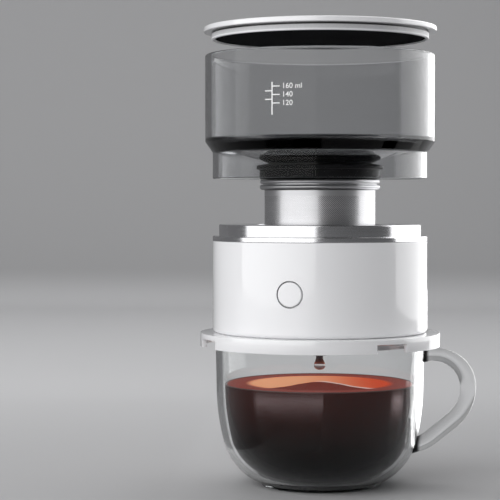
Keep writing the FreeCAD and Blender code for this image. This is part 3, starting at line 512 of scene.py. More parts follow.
def finish_for(slot):
    """The material of a slot of the record or of a coat named here, made on first use."""
    mug, base, tank = settings("mug"), settings("base"), settings("tank")
    stage = settings("stage")
    makers = {
        "glass_clear": (clear_glass, mug.glass),
        "white_gloss": (white_gloss, base.plastic, base.roughness),
        "plug_ring": (shade_painted_ring, base.plastic, base.roughness),
        "steel_brushed": (brushed_steel, base.steel, 0.17),
        "steel_filter": (brushed_steel, shaded(base.steel, 0.82), 0.36, 0.0008),
        "tank_smoke": (smoky_plastic, tank.smoke),
        "silicone_black": (soft_rubber, shaded(tank.rubber, 2.0), 0.34, 0.09),
        # painted shade: this grey silicone is dark, standing in for the shade line at the top of the cover's
        # notches
        "silicone_grey": (soft_rubber, (0.20, 0.20, 0.205), 0.5, 0.5),
        "liner_black": (soft_rubber, shaded(tank.rubber, 2.6), 0.5, 0.0),
        "frame_plastic": (moulded_plastic, (0.11, 0.11, 0.115), 0.5),
        "gear_plastic": (moulded_plastic, (0.78, 0.78, 0.72), 0.42),
        "switch_black": (moulded_plastic, (0.02, 0.02, 0.02), 0.5),
        "brass_plain": (plain_metal, (0.74, 0.52, 0.22)),
        "steel_plain": (plain_metal, (0.58, 0.58, 0.60)),
        "cell_wrap": (pouch_film, (0.60, 0.61, 0.64)),
        "board_green": (circuit_board, (0.03, 0.18, 0.07)),
        "print_white": (printed_ink, tank.ink),
        "coffee": (brewed_coffee, mug),
        "coffee_top": (coffee_top, mug),
        "coffee_drop": (coffee_drop,),
        "handle_glass": (drawn_rod, mug.glass),
        "flag_grey": (stage_card, (0.21, 0.21, 0.215)),
        "card_glow": (stage_card, (1.0, 0.82, 0.84), 2.6, (0.10, 0.25, 0.26, 0.36)),
        "panel_glow": (stage_card, (1.0, 1.0, 1.0), stage.side),
        "studio_paper": (studio_paper, stage.floor),
    }
    if slot not in FINISHES:
        maker, *given = makers[slot]
        FINISHES[slot] = maker(slot, *given)
    return FINISHES[slot]


# Mesh helpers. Outlines are lists of (radius, height) in millimetres.

def arc_between(start, end, radius, steps):
    """Points after start on the short arc to end, turning left for a positive radius."""
    start, end = Vector(start), Vector(end)
    chord = end - start
    left = Vector((-chord.y, chord.x)).normalized()
    reach = math.sqrt(max(radius * radius - chord.length_squared / 4, 0.0))
    centre = (start + end) / 2 + left * math.copysign(reach, radius)
    first = start - centre
    turn = math.copysign(2 * math.asin(min(chord.length / 2 / abs(radius), 1.0)), radius)
    return [tuple(centre + Matrix.Rotation(turn * k / steps, 2) @ first) for k in range(1, steps + 1)]


def soften(corners, steps=4):
    """Round the corners (radius, height, round) of a closed outline. Long runs keep a point by each round."""
    outline = []
    for k, (across, up, fillet) in enumerate(corners):
        here = Vector((across, up))
        back = Vector(corners[k - 1][:2]) - here
        ahead = Vector(corners[(k + 1) % len(corners)][:2]) - here
        half = back.angle(ahead, 0) / 2
        if not fillet or half > math.radians(89) or half < math.radians(2):
            outline.append((across, up))
            continue
        run = min(fillet / math.tan(half), 0.48 * back.length, 0.48 * ahead.length)
        start, end = here + back.normalized() * run, here + ahead.normalized() * run
        side = (start - here).cross(end - here)
        if back.length > 3 * run:
            outline.append(tuple(start + back.normalized() * run * 0.2))
        outline.append(tuple(start))
        outline += arc_between(start, end, math.copysign(run * math.tan(half), -side), steps)
        if ahead.length > 3 * run:
            outline.append(tuple(end + ahead.normalized() * run * 0.2))
    return outline


def around(count):
    """Directions evenly spaced round a circle, each as its cosine and sine."""
    return [(math.cos(2 * math.pi * k / count), math.sin(2 * math.pi * k / count)) for k in range(count)]


def lathe(name, outline, segments=SEGMENTS):
    """Turn a closed outline about the machine's axis. Points on the axis close the shape there."""
    shape = bmesh.new()
    spokes = around(segments)
    rings = []
    for across, up in outline:
        rings.append([shape.verts.new((across * MM * c, across * MM * s, up * MM))
                      for c, s in (spokes if across > 1e-6 else spokes[:1])])
    for low, high in zip(rings, rings[1:] + rings[:1]):
        bridge(shape, low, high)
    return to_object(name, shape)


def bridge(shape, low, high):
    """Join two rings with faces. One of them may be a single point."""
    if len(low) + len(high) > 2:
        for k in range(max(len(low), len(high))):
            corners = [low[k % len(low)], low[(k + 1) % len(low)],
                       high[(k + 1) % len(high)], high[k % len(high)]]
            shape.faces.new(list(dict.fromkeys(corners)))


def to_mesh(name, shape):
    """Make a mesh of a bmesh, which ends with it."""
    mesh = bpy.data.meshes.new(name)
    shape.to_mesh(mesh)
    shape.free()
    return mesh


def to_object(name, shape):
    """Make an object of a closed bmesh, with its faces outwards and smooth up to a sharp edge."""
    bmesh.ops.recalc_face_normals(shape, faces=shape.faces)
    return show(name, smooth(to_mesh(name, shape)))


def smooth(mesh):
    mesh.shade_smooth()
    mesh.set_sharp_from_angle(angle=SMOOTH_ANGLE)
    return mesh


def show(name, data):
    piece = bpy.data.objects.new(name, data)
    bpy.context.scene.collection.objects.link(piece)
    return piece


def baked(piece):
    """Turn what the modifiers make of a piece into its plain mesh."""
    graph = bpy.context.evaluated_depsgraph_get()
    mesh = bpy.data.meshes.new_from_object(piece.evaluated_get(graph))
    name = mesh.name = piece.name
    bpy.data.objects.remove(piece)
    return show(name, mesh)


def cut(piece, *tools):
    """Cut closed shapes from a piece, and remove them."""
    for tool in tools:
        step = piece.modifiers.new("cut", "BOOLEAN")
        step.operation = "DIFFERENCE"
        step.solver = "EXACT"
        step.object = tool
    result = baked(piece)
    for tool in tools:
        bpy.data.objects.remove(tool)
    smooth(result.data)
    return result


def bevelled(piece, width):
    """Round a piece's sharp edges."""
    step = piece.modifiers.new("edge round", "BEVEL")
    step.width = width
    step.segments = 3
    step.limit_method = "ANGLE"
    step.angle_limit = BEVEL_ANGLE
    result = baked(piece)
    smooth(result.data)
    return result


def place(piece, body, slot, *nodes, coat=None):
    """Give a finished piece its material, its body and the CAD nodes that it stands for."""
    piece.data.materials.clear()
    piece.data.materials.append(finish_for(coat or slot))
    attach(piece, body)
    if nodes:
        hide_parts(*nodes)
    return piece


def geometry_tree(name, values):
    """Start a Geometry Nodes tree with an input for each value, and give it with its inputs' outlets."""
    tree = bpy.data.node_groups.new(name, "GeometryNodeTree")
    tree.interface.new_socket("Geometry", in_out="INPUT", socket_type="NodeSocketGeometry")
    for label, given in values.items():
        kind = {float: "Float", int: "Int"}.get(type(given), "Object")
        tree.interface.new_socket(label, in_out="INPUT", socket_type="NodeSocket" + kind)
    tree.interface.new_socket("Geometry", in_out="OUTPUT", socket_type="NodeSocketGeometry")
    graph = Graph(tree)
    return graph, {label: graph.node("NodeGroupInput", out=label) for label in ["Geometry", *values]}


def grown(graph, result, values, piece, material):
    """Close a tree with realised instances and a material, run it on a piece, and keep the plain mesh."""
    solid = graph.node("GeometryNodeRealizeInstances", None, {0: result})
    painted = graph.node("GeometryNodeSetMaterial", None, {"Geometry": solid, "Material": material})
    graph.node("NodeGroupOutput", None, {0: painted})
    step = piece.modifiers.new(graph.tree.name, "NODES")
    step.node_group = graph.tree
    for socket in graph.tree.interface.items_tree:
        if socket.in_out == "INPUT" and socket.name in values:
            step[socket.identifier] = values[socket.name]
    return baked(piece)


# Pieces

BOWL = {"shoulder": (41.5, 40.6), "rim": (41.9, heights("glass_mug")[1]), "waist": 18.0, "upper": 97.0,
        "lower": 24.4, "wall": 2.3, "foot": 1.0, "floor": 4.2}


def bowl_wall(inset, start):
    """The bowl's curve at a depth inside its outer face, from a height over the table up to its shoulder."""
    across, shoulder = BOWL["shoulder"]
    drop = (shoulder - BOWL["waist"]) / BOWL["upper"]
    run = math.sqrt(1 - drop * drop)
    upper, lower = BOWL["upper"] - inset, BOWL["lower"] - inset
    centre = Vector((across - BOWL["upper"] + (BOWL["upper"] - BOWL["lower"]) * run,
                     BOWL["waist"] + BOWL["lower"] * drop))
    foot = (centre.x + math.sqrt(lower ** 2 - (centre.y - start) ** 2), start)
    waist = (across - BOWL["upper"] + upper * run, shoulder - upper * drop)
    outline = [foot] + arc_between(foot, waist, lower, 22)
    return outline + arc_between(waist, (across - inset, shoulder), upper, 12)


class COFFEE_OT_mug(bpy.types.Operator):
    """Blow the glass bowl and bend the handle that is welded to it"""
    bl_idname = "coffee_maker.mug"
    bl_label = "Glass mug"

    def execute(self, context):
        mug = settings("mug")
        rim, wall = BOWL["rim"], BOWL["wall"]
        outside, inside = bowl_wall(0, BOWL["foot"]), bowl_wall(wall, BOWL["floor"])
        foot = outside[0][0] - 0.6
        outline = [(0, 0.25), (foot - 2.4, 0.25), (foot - 1.6, 0)]
        outline += soften([(foot, 0, 0.35), (foot, BOWL["foot"], 0), (0, BOWL["foot"], 0)], 4)[:-1]
        lip = [(*outside[-1], 0), (*rim, 1.1), (rim[0] - wall, rim[1], 1.1), (*inside[-1], 0)]
        outline += outside + soften(lip, 6)[1:-1] + inside[::-1] + [(0, BOWL["floor"])]
        place(lathe("mug_bowl", outline, FINE_SEGMENTS), "mug", "glass_clear", "glass_mug")
        core = lathe("bowl_core", [(0, 0), (foot, 0)] + outside + [rim, (0, rim[1])], 128)
        place(cut(self.handle(mug), core), "mug", "glass_clear", "mug_handle", coat="handle_glass")
        return {"FINISHED"}

    def handle(self, mug):
        """Bend the rod: a path of runs and arcs, swept by Geometry Nodes with a radius that swells."""
        path = [(40.6, 52.3), (46.5, 52.3)]
        path += arc_between(path[-1], (59.5, 39.3), -13.0, 14)
        path += arc_between(path[-1], (53.2, 26.09), -17.0, 14)
        path += [(44.62, 19.14)]
        path += arc_between(path[-1], (35.18, 15.8), -15.0, 12)
        path += [(33.2, 15.8)]
        line = bpy.data.curves.new("rod_path", "CURVE")
        line.dimensions = "3D"
        spline = line.splines.new("POLY")
        spline.points.add(len(path) - 1)
        c, s = math.cos(mug.handle_turn), math.sin(mug.handle_turn)
        for point, (across, up) in zip(spline.points, path):
            point.co = (across * MM * c, across * MM * s, up * MM, 1)
        sizes = {"Top": mug.rod_top, "Middle": mug.rod_middle, "Foot": mug.rod_foot}
        graph, given = geometry_tree("bent rod", sizes)
        even = graph.node("GeometryNodeResampleCurve", {"mode": "COUNT"},
                          {"Curve": given["Geometry"], "Count": 120})
        along = graph.node("GeometryNodeSplineParameter")
        swell, taper = given["Middle"] - given["Top"], given["Foot"] - given["Middle"]
        radius = given["Top"] + swell * along.between(0.0, 0.32) + taper * along.between(0.6, 0.97)
        flare = 1 + (1 - along.between(0.0, 0.075)) * 0.35 + along.between(0.9, 1.0) * 0.35
        circle = graph.node("GeometryNodeCurvePrimitiveCircle", None, {"Resolution": 40, "Radius": 1.0})
        swept = graph.node("GeometryNodeCurveToMesh", None, {"Curve": even, "Profile Curve": circle,
                                                             "Scale": radius * flare, "Fill Caps": True})
        return grown(graph, swept, sizes, show("handle_rod", line), finish_for("glass_clear"))


class COFFEE_OT_brew(bpy.types.Operator):
    """Pour the coffee and hang a drop from the nozzle"""
    bl_idname = "coffee_maker.brew"
    bl_label = "Coffee"

    def execute(self, context):
        mug = settings("mug")
        gap, level = mug.wall_gap / MM, mug.level / MM
        inset, start = BOWL["wall"] + gap, BOWL["floor"] + 0.1
        side = [point for point in bowl_wall(inset, start) if point[1] < level - 0.5]
        edge = BOWL["shoulder"][0] - inset
        outline = [(0, start)] + side + [(edge, level), (edge - 0.2, level + 0.1), (edge - 0.9, level - 0.1),
                                         (edge - 1.0, level - 0.6), (0, level - 0.6)]
        place(lathe("brewed_coffee", outline), "mug", "glass_clear", coat="coffee")
        reaches = [(edge - 2.0) * k / 60 for k in range(60, -1, -1)]
        ripple = [(reach, level - 0.16 + 0.14 * math.cos(reach * 0.55) * math.exp(-reach / 9))
                  for reach in reaches]
        top = [(edge - 0.9, level - 0.08)] + ripple + [(0, level - 0.45)]
        place(lathe("coffee_surface", top), "mug", "glass_clear", coat="coffee_top")
        neck = heights("drip_nozzle")[0] - 0.04
        drop = [(0, 0), (1.5, 0), (1.45, 0.66), (1.55, 1.46), (1.85, 2.36), (2.2, 3.16), (2.34, 3.86),
                (2.25, 4.56), (1.9, 5.16), (1.3, 5.56), (0.65, 5.76), (0, 5.81)]
        drop = [(across, neck - down) for across, down in drop]
        place(lathe("hanging_drop", drop, 48), "base", "silicone_black", coat="coffee_drop")
        return {"FINISHED"}


class COFFEE_OT_cover(bpy.types.Operator):
    """Mould the lower cover with its notched skirt"""
    bl_idname = "coffee_maker.cover"
    bl_label = "Lower cover"

    def execute(self, context):
        base = settings("base")
        low, high = heights("lower_cover")
        roof = high - 1.8
        bore, inside, outside, notch_top = 23.05, 46.3, 48.0, roof - 0.2
        top = [(bore, roof), (37.4, roof), (37.4, roof - 3.0), (38.8, roof - 3.0), (38.8, roof),
               (inside, roof)]
        skirt = [(inside, notch_top), (inside, low), (outside, low), (outside, notch_top)]
        points = top + skirt + [(outside, high), (bore, high)]
        ends, tips = range(len(top), len(top) + 4), (len(top) + 1, len(top) + 2)
        notches = [FRONT + back + side * base.notch_turn for back in (0, math.pi) for side in (-1, 1)]
        half = base.notch_span / 2
        edges = sorted((notch + side * half) % (2 * math.pi) for notch in notches for side in (-1, 1))
        turns, open_after = [], []
        for start, end in zip(edges, edges[1:] + [edges[0] + 2 * math.pi]):
            steps = max(2, round((end - start) / math.radians(2)))
            turns += [start + (end - start) * k / steps for k in range(steps)]
            reach = max(math.cos((start + end) / 2 - notch) for notch in notches)
            open_after += [reach > math.cos(half)] * steps
        shape = bmesh.new()
        rings = [[shape.verts.new((r * MM * math.cos(t), r * MM * math.sin(t), z * MM)) for r, z in points]
                 for t in turns]
        for k, ring in enumerate(rings):
            after = rings[(k + 1) % len(rings)]
            loop = [j for j in range(len(points)) if not (open_after[k] and j in tips)]
            for a, b in zip(loop, loop[1:] + loop[:1]):
                shape.faces.new([ring[a], ring[b], after[b], after[a]])
            if open_after[k] != open_after[k - 1]:
                shape.faces.new([ring[j] for j in ends])
        bmesh.ops.delete(shape, geom=[v for v in shape.verts if not v.link_faces], context="VERTS")
        cover = bevelled(to_object("cover_skirted", shape), 0.00042)
        place(cover, "base", "white_gloss", "lower_cover")
        return {"FINISHED"}


class COFFEE_OT_shell(bpy.types.Operator):
    """Turn the body shell and open its button hole and socket slot"""
    bl_idname = "coffee_maker.shell"
    bl_label = "Body shell"

    def execute(self, context):
        base = settings("base")
        low, high = heights("body_shell")
        outline = soften([(37.0, low, 0.2), (SHELL_RADIUS, low, 1.8), (SHELL_RADIUS, high, 0.25),
                          (40.8, high, 0.1), (40.8, low + 1.2, 0), (37.0, low + 1.2, 0.2)], 6)
        shell = lathe("shell_wall", outline, FINE_SEGMENTS)
        hole = self.bar("button_hole", FRONT, sum(heights("power_button")) / 2 * MM,
                        BUTTON_RADIUS + base.button_gap, 0.0, 72)
        low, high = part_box("charge_socket")
        radius = (high.z - low.z) / 2 + SOCKET_GAP
        slot = self.bar("socket_slot", -FRONT, (low.z + high.z) / 2, radius,
                        (high.x - low.x) / 2 + SOCKET_GAP - radius, 48)
        shell = cut(shell, hole, slot)
        self.true_normals(shell.data)
        place(shell, "base", "white_gloss", "body_shell")
        return {"FINISHED"}

    def bar(self, name, turn, up, radius, run, count):
        """A bar through one side of the shell: round, or with half-round ends a run from its middle."""
        along = Vector((math.cos(turn), math.sin(turn), 0))
        across = Vector((-math.sin(turn), math.cos(turn), 0))
        shape = bmesh.new()
        near, far = ([shape.verts.new(along * reach + across * (math.copysign(run, c) + radius * c)
                                      + Vector((0, 0, up + radius * s))) for c, s in around(count)]
                     for reach in (0.036, 0.048))
        bridge(shape, far, near)
        shape.faces.new(near)
        shape.faces.new(far)
        return to_object(name, shape)

    def true_normals(self, mesh):
        """Point the wall's normals straight out from the axis, whatever faces the holes left."""
        normals = [Vector(n.vector) for n in mesh.corner_normals]
        for face in mesh.polygons:
            for corner in face.loop_indices:
                spot = mesh.vertices[mesh.loops[corner].vertex_index].co
                out = Vector((spot.x, spot.y, 0)).normalized()
                if abs(face.normal.dot(out)) > 0.996:
                    normals[corner] = out * math.copysign(1, face.normal.dot(out))
        mesh.normals_split_custom_set(normals)


class COFFEE_OT_button(bpy.types.Operator):
    """Mould the push button, its face rounded with the shell"""
    bl_idname = "coffee_maker.button"
    bl_label = "Push button"

    def execute(self, context):
        low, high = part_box("power_button")
        middle, seat, flange = (low.z + high.z) / 2, high.y, (high.x - low.x) / 2
        fronts = [(BUTTON_RADIUS * k / 12, 0.0) for k in range(1, 12)]
        fronts += [(BUTTON_RADIUS - 0.0003, 0.0), (BUTTON_RADIUS - 0.00012, 0.00006), (BUTTON_RADIUS, 0.0003)]
        backs = [(BUTTON_RADIUS, seat - 0.0009), (flange, seat - 0.0009), (flange, seat)]
        spokes, shell = around(96), SHELL_RADIUS * MM
        shape = bmesh.new()
        rings = [[shape.verts.new((0, -shell, middle))]]
        rings += [[shape.verts.new((across * c, sink - math.sqrt(shell ** 2 - (across * c) ** 2),
                                    middle + across * s)) for c, s in spokes] for across, sink in fronts]
        rings += [[shape.verts.new((across * c, y, middle + across * s)) for c, s in spokes]
                  for across, y in backs]
        for near, far in zip(rings, rings[1:]):
            bridge(shape, near, far)
        shape.faces.new(rings[-1])
        place(to_object("push_button", shape), "button", "white_gloss", "power_button")
        return {"FINISHED"}


class COFFEE_OT_top_ring(bpy.types.Operator):
    """Spin the stepped steel ring"""
    bl_idname = "coffee_maker.top_ring"
    bl_label = "Top ring"

    def execute(self, context):
        low, top = heights("top_ring")
        seat = heights("body_shell")[1]
        outline = soften([(26.0, low, 0.2), (27.2, low, 0.2), (27.2, top - 1.6, 0.5),
                          (38.85, top - 1.6, 0.5), (38.85, seat - 2.5, 0.1), (40.7, seat - 2.5, 0.2),
                          (40.7, seat, 0), (SHELL_RADIUS, seat, 0.2), (SHELL_RADIUS, seat + 2, 0.35),
                          (40.45, seat + 2, 0.15), (40.45, top, 0.45), (26.0, top, 0.5)], 5)
        place(lathe("steel_ring", outline, FINE_SEGMENTS), "base", "steel_brushed", "top_ring")
        return {"FINISHED"}


class COFFEE_OT_filter(bpy.types.Operator):
    """Draw the steel filter cup and perforate its floor"""
    bl_idname = "coffee_maker.filter"
    bl_label = "Filter cup"

    def execute(self, context):
        foot, rim = heights("filter_cup")
        under = rim - 3.95
        outline = soften([(19.9, foot, 0.2), (CUP_RADIUS, foot, 0.9), (CUP_RADIUS, under, 0.3),
                          (23.4, under, 0.1)], 5)
        outline += arc_between((23.55, under + 0.05), (23.55, under + 1.85), 1.0, 10)
        outline += [(22.8, under + 1.87), (22.8, under + 2.23)]
        outline += arc_between((23.55, under + 2.25), (23.55, rim - 0.05), 1.0, 10)
        outline += soften([(23.2, rim, 0.1), (21.4, rim, 0.4), (21.4, foot + 0.8, 0.5),
                           (19.9, foot + 0.8, 0.2)], 5)
        place(lathe("steel_cup", outline, 224), "filter", "steel_brushed", "filter_cup", coat="steel_filter")
        self.floor()
        return {"FINISHED"}

    def floor(self):
        """Lay six-sided tiles with a round hole on a grid, cut to a disc, inside a plain rim."""
        low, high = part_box("filter_mesh")
        pitch, edge = 0.0016, high.x - 0.0014
        tile = show("floor_tile", self.tile(pitch, high.z - low.z))
        sizes = {"Pitch": pitch, "Edge": edge - 0.0006, "Height": low.z, "Tile": tile}
        graph, given = geometry_tree("perforated floor", sizes)
        rows, columns, row_height = 31, 27, 0.75 ** 0.5
        grid = graph.node("GeometryNodeMeshGrid", None,
                          {"Size X": given["Pitch"] * (columns - 1), "Vertices X": columns,
                           "Size Y": given["Pitch"] * (row_height * (rows - 1)), "Vertices Y": rows})
        x, y, _ = graph.parts(graph.node("GeometryNodeInputPosition"))
        odd = (y / (given["Pitch"] * row_height)).math("ROUND").math("FLOORED_MODULO", 2.0)
        shift = graph.vector(odd * given["Pitch"] * 0.5, 0.0, given["Height"])
        staggered = graph.node("GeometryNodeSetPosition", None, {"Geometry": grid, "Offset": shift})
        outside = ((x * x + y * y) ** 0.5).math("GREATER_THAN", given["Edge"])
        kept = graph.node("GeometryNodeDeleteGeometry", {"domain": "POINT"},
                          {"Geometry": staggered, "Selection": outside})
        tiles = graph.copies(kept, given["Tile"])
        solid = graph.node("GeometryNodeRealizeInstances", None, {0: tiles})
        welded = graph.node("GeometryNodeMergeByDistance", None, {"Geometry": solid, "Distance": 0.00002})
        seed = show("filter_floor", bpy.data.meshes.new("filter_floor"))
        piece = grown(graph, welded, sizes, seed, finish_for("steel_brushed"))
        bpy.data.objects.remove(tile)
        place(piece, "filter", "steel_brushed", "filter_mesh")
        (foot, top), outer, inner = heights("filter_mesh"), high.x / MM, edge / MM - 1.2
        rim = [(outer, foot), (outer, top), (inner, top + 0.02), (inner, foot - 0.02)]
        place(lathe("floor_rim", rim), "filter", "steel_brushed")

    def tile(self, pitch, thick):
        """A six-sided tile with a round hole in it, as thick as the sheet."""
        shape = bmesh.new()
        sides = [pitch / 2, pitch / math.sqrt(3)] * 6
        hole = [pitch * 0.29] * 12
        out_low, in_low, out_high, in_high = (
            [shape.verts.new((size * c, size * s, up)) for size, (c, s) in zip(ring, around(12))]
            for up in (0.0, thick) for ring in (sides, hole))
        for first, second in ((out_low, in_low), (in_high, out_high), (in_low, in_high)):
            bridge(shape, first, second)
        return to_mesh("floor_tile", shape)


class COFFEE_OT_tank(bpy.types.Operator):
    """Mould the clear tank and its black seal"""
    bl_idname = "coffee_maker.tank"
    bl_label = "Water tank"

    def execute(self, context):
        foot, top = heights("water_tank")
        rest = 0.03
        outline = soften([(40.9, foot + rest, 0.25), (SHELL_RADIUS, foot + rest, 0.35),
                          (SHELL_RADIUS, foot + 10.5, 0.8), (46.0, foot + 14.8, 0.9), (46.0, top - rest, 0.8),
                          (43.7, top - rest, 0.8), (43.7, foot + 15.4, 1.4), (20.8, foot + 8.6, 0.3),
                          (20.8, foot + 6.3, 0.3), (40.9, foot + 12.27, 0.8)], 6)
        place(lathe("clear_tank", outline, FINE_SEGMENTS), "tank", "tank_smoke", "water_tank")
        seal = soften([(18.5, foot, 0.2), (24.2, foot, 0.4), (24.2, foot + 3.7, 0.5), (25.4, foot + 3.7, 0.5),
                       (25.4, foot + 5.3, 0.6), (20.6, foot + 6.15, 0.5), (20.6, foot + 8.75, 0.4),
                       (24.2, foot + 9.85, 0.25), (24.2, foot + 10.55, 0.3), (18.5, foot + 10.55, 0.5),
                       (18.5, foot + 7.9, 0.1), (19.3, foot + 7.9, 0), (19.3, foot + 6.3, 0),
                       (18.5, foot + 6.3, 0.1)], 5)
        place(lathe("outlet_seal", seal), "tank", "silicone_black", "tank_seal")
        return {"FINISHED"}


class COFFEE_OT_scale(bpy.types.Operator):
    """Print the volume marks and plain numbers on the tank"""
    bl_idname = "coffee_maker.scale"
    bl_label = "Printed scale"

    radius = 0.04602
    post = -0.0061
    indent = 0.0040
    size_per_height = 1.38
    top_mark = heights("water_tank", 1.0)[1] - 0.0151

    def execute(self, context):
        tank = settings("tank")
        sizes = {"Radius": self.radius, "Pitch": tank.mark_pitch, "Marks": tank.mark_count,
                 "Side": self.post, "Top": self.top_mark}
        graph, given = geometry_tree("scale marks", sizes)
        thick, ink = 0.00006, 0.00042
        post = graph.node("GeometryNodeMeshCube", None, {"Size": (0.0005, thick, 0.0124)})
        middle = graph.vector(given["Side"], 0.0, given["Top"] - 0.0046)
        step = graph.vector(0.0, 0.0, given["Pitch"] * -1.0)
        bars = []
        for drop, extra, left, run in ((0.0, 0, 0.0, 0.0031), (0.55, -1, -0.0029, 0.0029)):
            start = graph.vector(given["Side"] + (left + run / 2), 0.0, given["Top"] - given["Pitch"] * drop)
            line = graph.node("GeometryNodeMeshLine", {"mode": "OFFSET"},
                              {"Count": given["Marks"] + extra, "Start Location": start, "Offset": step})
            tick = graph.node("GeometryNodeMeshCube", None, {"Size": (run, thick, ink), "Vertices X": 6})
            bars.append(graph.node("GeometryNodeInstanceOnPoints", None, {"Points": line, "Instance": tick}))
        bars.append(graph.node("GeometryNodeTransform", None, {"Geometry": post, "Translation": middle}))
        joined = graph.node("GeometryNodeJoinGeometry", None, {0: bars})
        solid = graph.node("GeometryNodeRealizeInstances", None, {0: joined})
        x, y, z = graph.parts(graph.node("GeometryNodeInputPosition"))
        turn = x / given["Radius"]
        reach = given["Radius"] - y
        spot = graph.vector(reach * turn.math("SINE"), reach * turn.math("COSINE") * -1.0, z)
        wrapped = graph.node("GeometryNodeSetPosition", None, {"Geometry": solid, "Position": spot})
        seed = show("scale_marks", bpy.data.meshes.new("scale_marks"))
        marks = grown(graph, wrapped, sizes, seed, finish_for("print_white"))
        place(marks, "tank", "white_gloss", coat="print_white")
        for k in range(tank.mark_count):
            words = str(160 - 20 * k) + (" " + tank.unit_word if k == 0 else "")
            self.write(f"scale_number_{k}", words, self.top_mark - k * tank.mark_pitch, tank.digit_height)
        return {"FINISHED"}

    def write(self, name, words, up, height):
        """Set a number beside its mark, as a thin mesh wrapped on the tank."""
        text = bpy.data.curves.new(name, "FONT")
        text.body = words
        text.size = height * self.size_per_height
        text.align_y = "CENTER"
        text.extrude = 0.00003
        text.offset = 0.00003
        number = baked(show(name, text))
        for vertex in number.data.vertices:
            turn = (vertex.co.x + self.post + self.indent) / self.radius
            reach = self.radius + vertex.co.z
            vertex.co = (reach * math.sin(turn), -reach * math.cos(turn), up + vertex.co.y)
        place(number, "tank", "white_gloss", coat="print_white")


class COFFEE_OT_lid(bpy.types.Operator):
    """Mould the lid's plate, plug ring and black liner"""
    bl_idname = "coffee_maker.lid"
    bl_label = "Lid"

    def execute(self, context):
        foot, top = heights("lid_top")
        plate = soften([(0, foot, 0), (46.6, foot, 0.45), (46.6, top, 0.6), (30.0, top, 0), (0, top, 0)], 7)
        place(lathe("lid_plate", plate, FINE_SEGMENTS), "lid", "white_gloss", "lid_top")
        edge, under = heights("lid_plug")[0], heights("lid_liner")[0]
        plug = soften([(42.1, edge, 0.3), (43.4, edge, 0.45), (43.4, foot - 0.5, 0.15),
                       (42.6, foot - 0.5, 0), (42.6, foot, 0), (42.1, foot, 0)], 5)
        place(lathe("lid_plug_ring", plug, FINE_SEGMENTS), "lid", "white_gloss", "lid_plug", coat="plug_ring")
        liner = soften([(0, under + 0.3, 0), (38.0, under + 0.3, 0.6), (39.2, under, 0.4),
                        (42.0, under, 0.3), (42.0, foot, 0), (0, foot, 0)], 5)
        place(lathe("lid_underside", liner), "lid", "silicone_black", "lid_liner", coat="liner_black")
        return {"FINISHED"}


class COFFEE_OT_screws(bpy.types.Operator):
    """Set the case screws with cross recesses under the cover"""
    bl_idname = "coffee_maker.screws"
    bl_label = "Case screws"

    def execute(self, context):
        low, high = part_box("case_screws")
        head, depth = 0.0027, high.z - low.z
        circle = (high.x - head) * math.sqrt(2)
        outline = soften([(0, 0.0, 0), (head / MM, 0.0, 0.7), (head / MM, 1.3, 0.1), (1.3, 1.3, 0.1),
                          (1.3, depth / MM - 1.0, 0.2), (0.5, depth / MM, 0.1), (0, depth / MM, 0)], 4)
        screw = lathe("case_screw", outline, 40)
        bars = []
        for size in ((0.0026, 0.0006), (0.0006, 0.0026)):
            shape = bmesh.new()
            bmesh.ops.create_cube(shape, size=1.0, matrix=Matrix.Diagonal((*size, 0.0016, 1)))
            bars.append(to_object("recess_bar", shape))
        screw = cut(screw, *bars)
        sizes = {"Radius": circle, "Height": low.z, "Screw": screw}
        graph, given = geometry_tree("screw circle", sizes)
        ring = graph.node("GeometryNodeMeshCircle", None, {"Vertices": 4, "Radius": given["Radius"]})
        turned = graph.node("GeometryNodeTransform", None,
                            {"Geometry": ring, "Rotation": (0.0, 0.0, math.pi / 4),
                             "Translation": graph.vector(0.0, 0.0, given["Height"])})
        seed = show("cover_screws", bpy.data.meshes.new("cover_screws"))
        screws = grown(graph, graph.copies(turned, given["Screw"]), sizes, seed, finish_for("steel_plain"))
        bpy.data.objects.remove(screw)
        place(screws, "base", "steel_plain", "case_screws")
        return {"FINISHED"}


class COFFEE_OT_inside(bpy.types.Operator):
    """Finish the CAD pieces that show as they are"""
    bl_idname = "coffee_maker.inside"
    bl_label = "Inner pieces"

    def execute(self, context):
        for row in FRAME["record"]["subparts"]:
            node = FRAME["nodes"][row["node"]]
            node.data.materials.clear()
            node.data.materials.append(finish_for(row["material_slot"]))
        return {"FINISHED"}


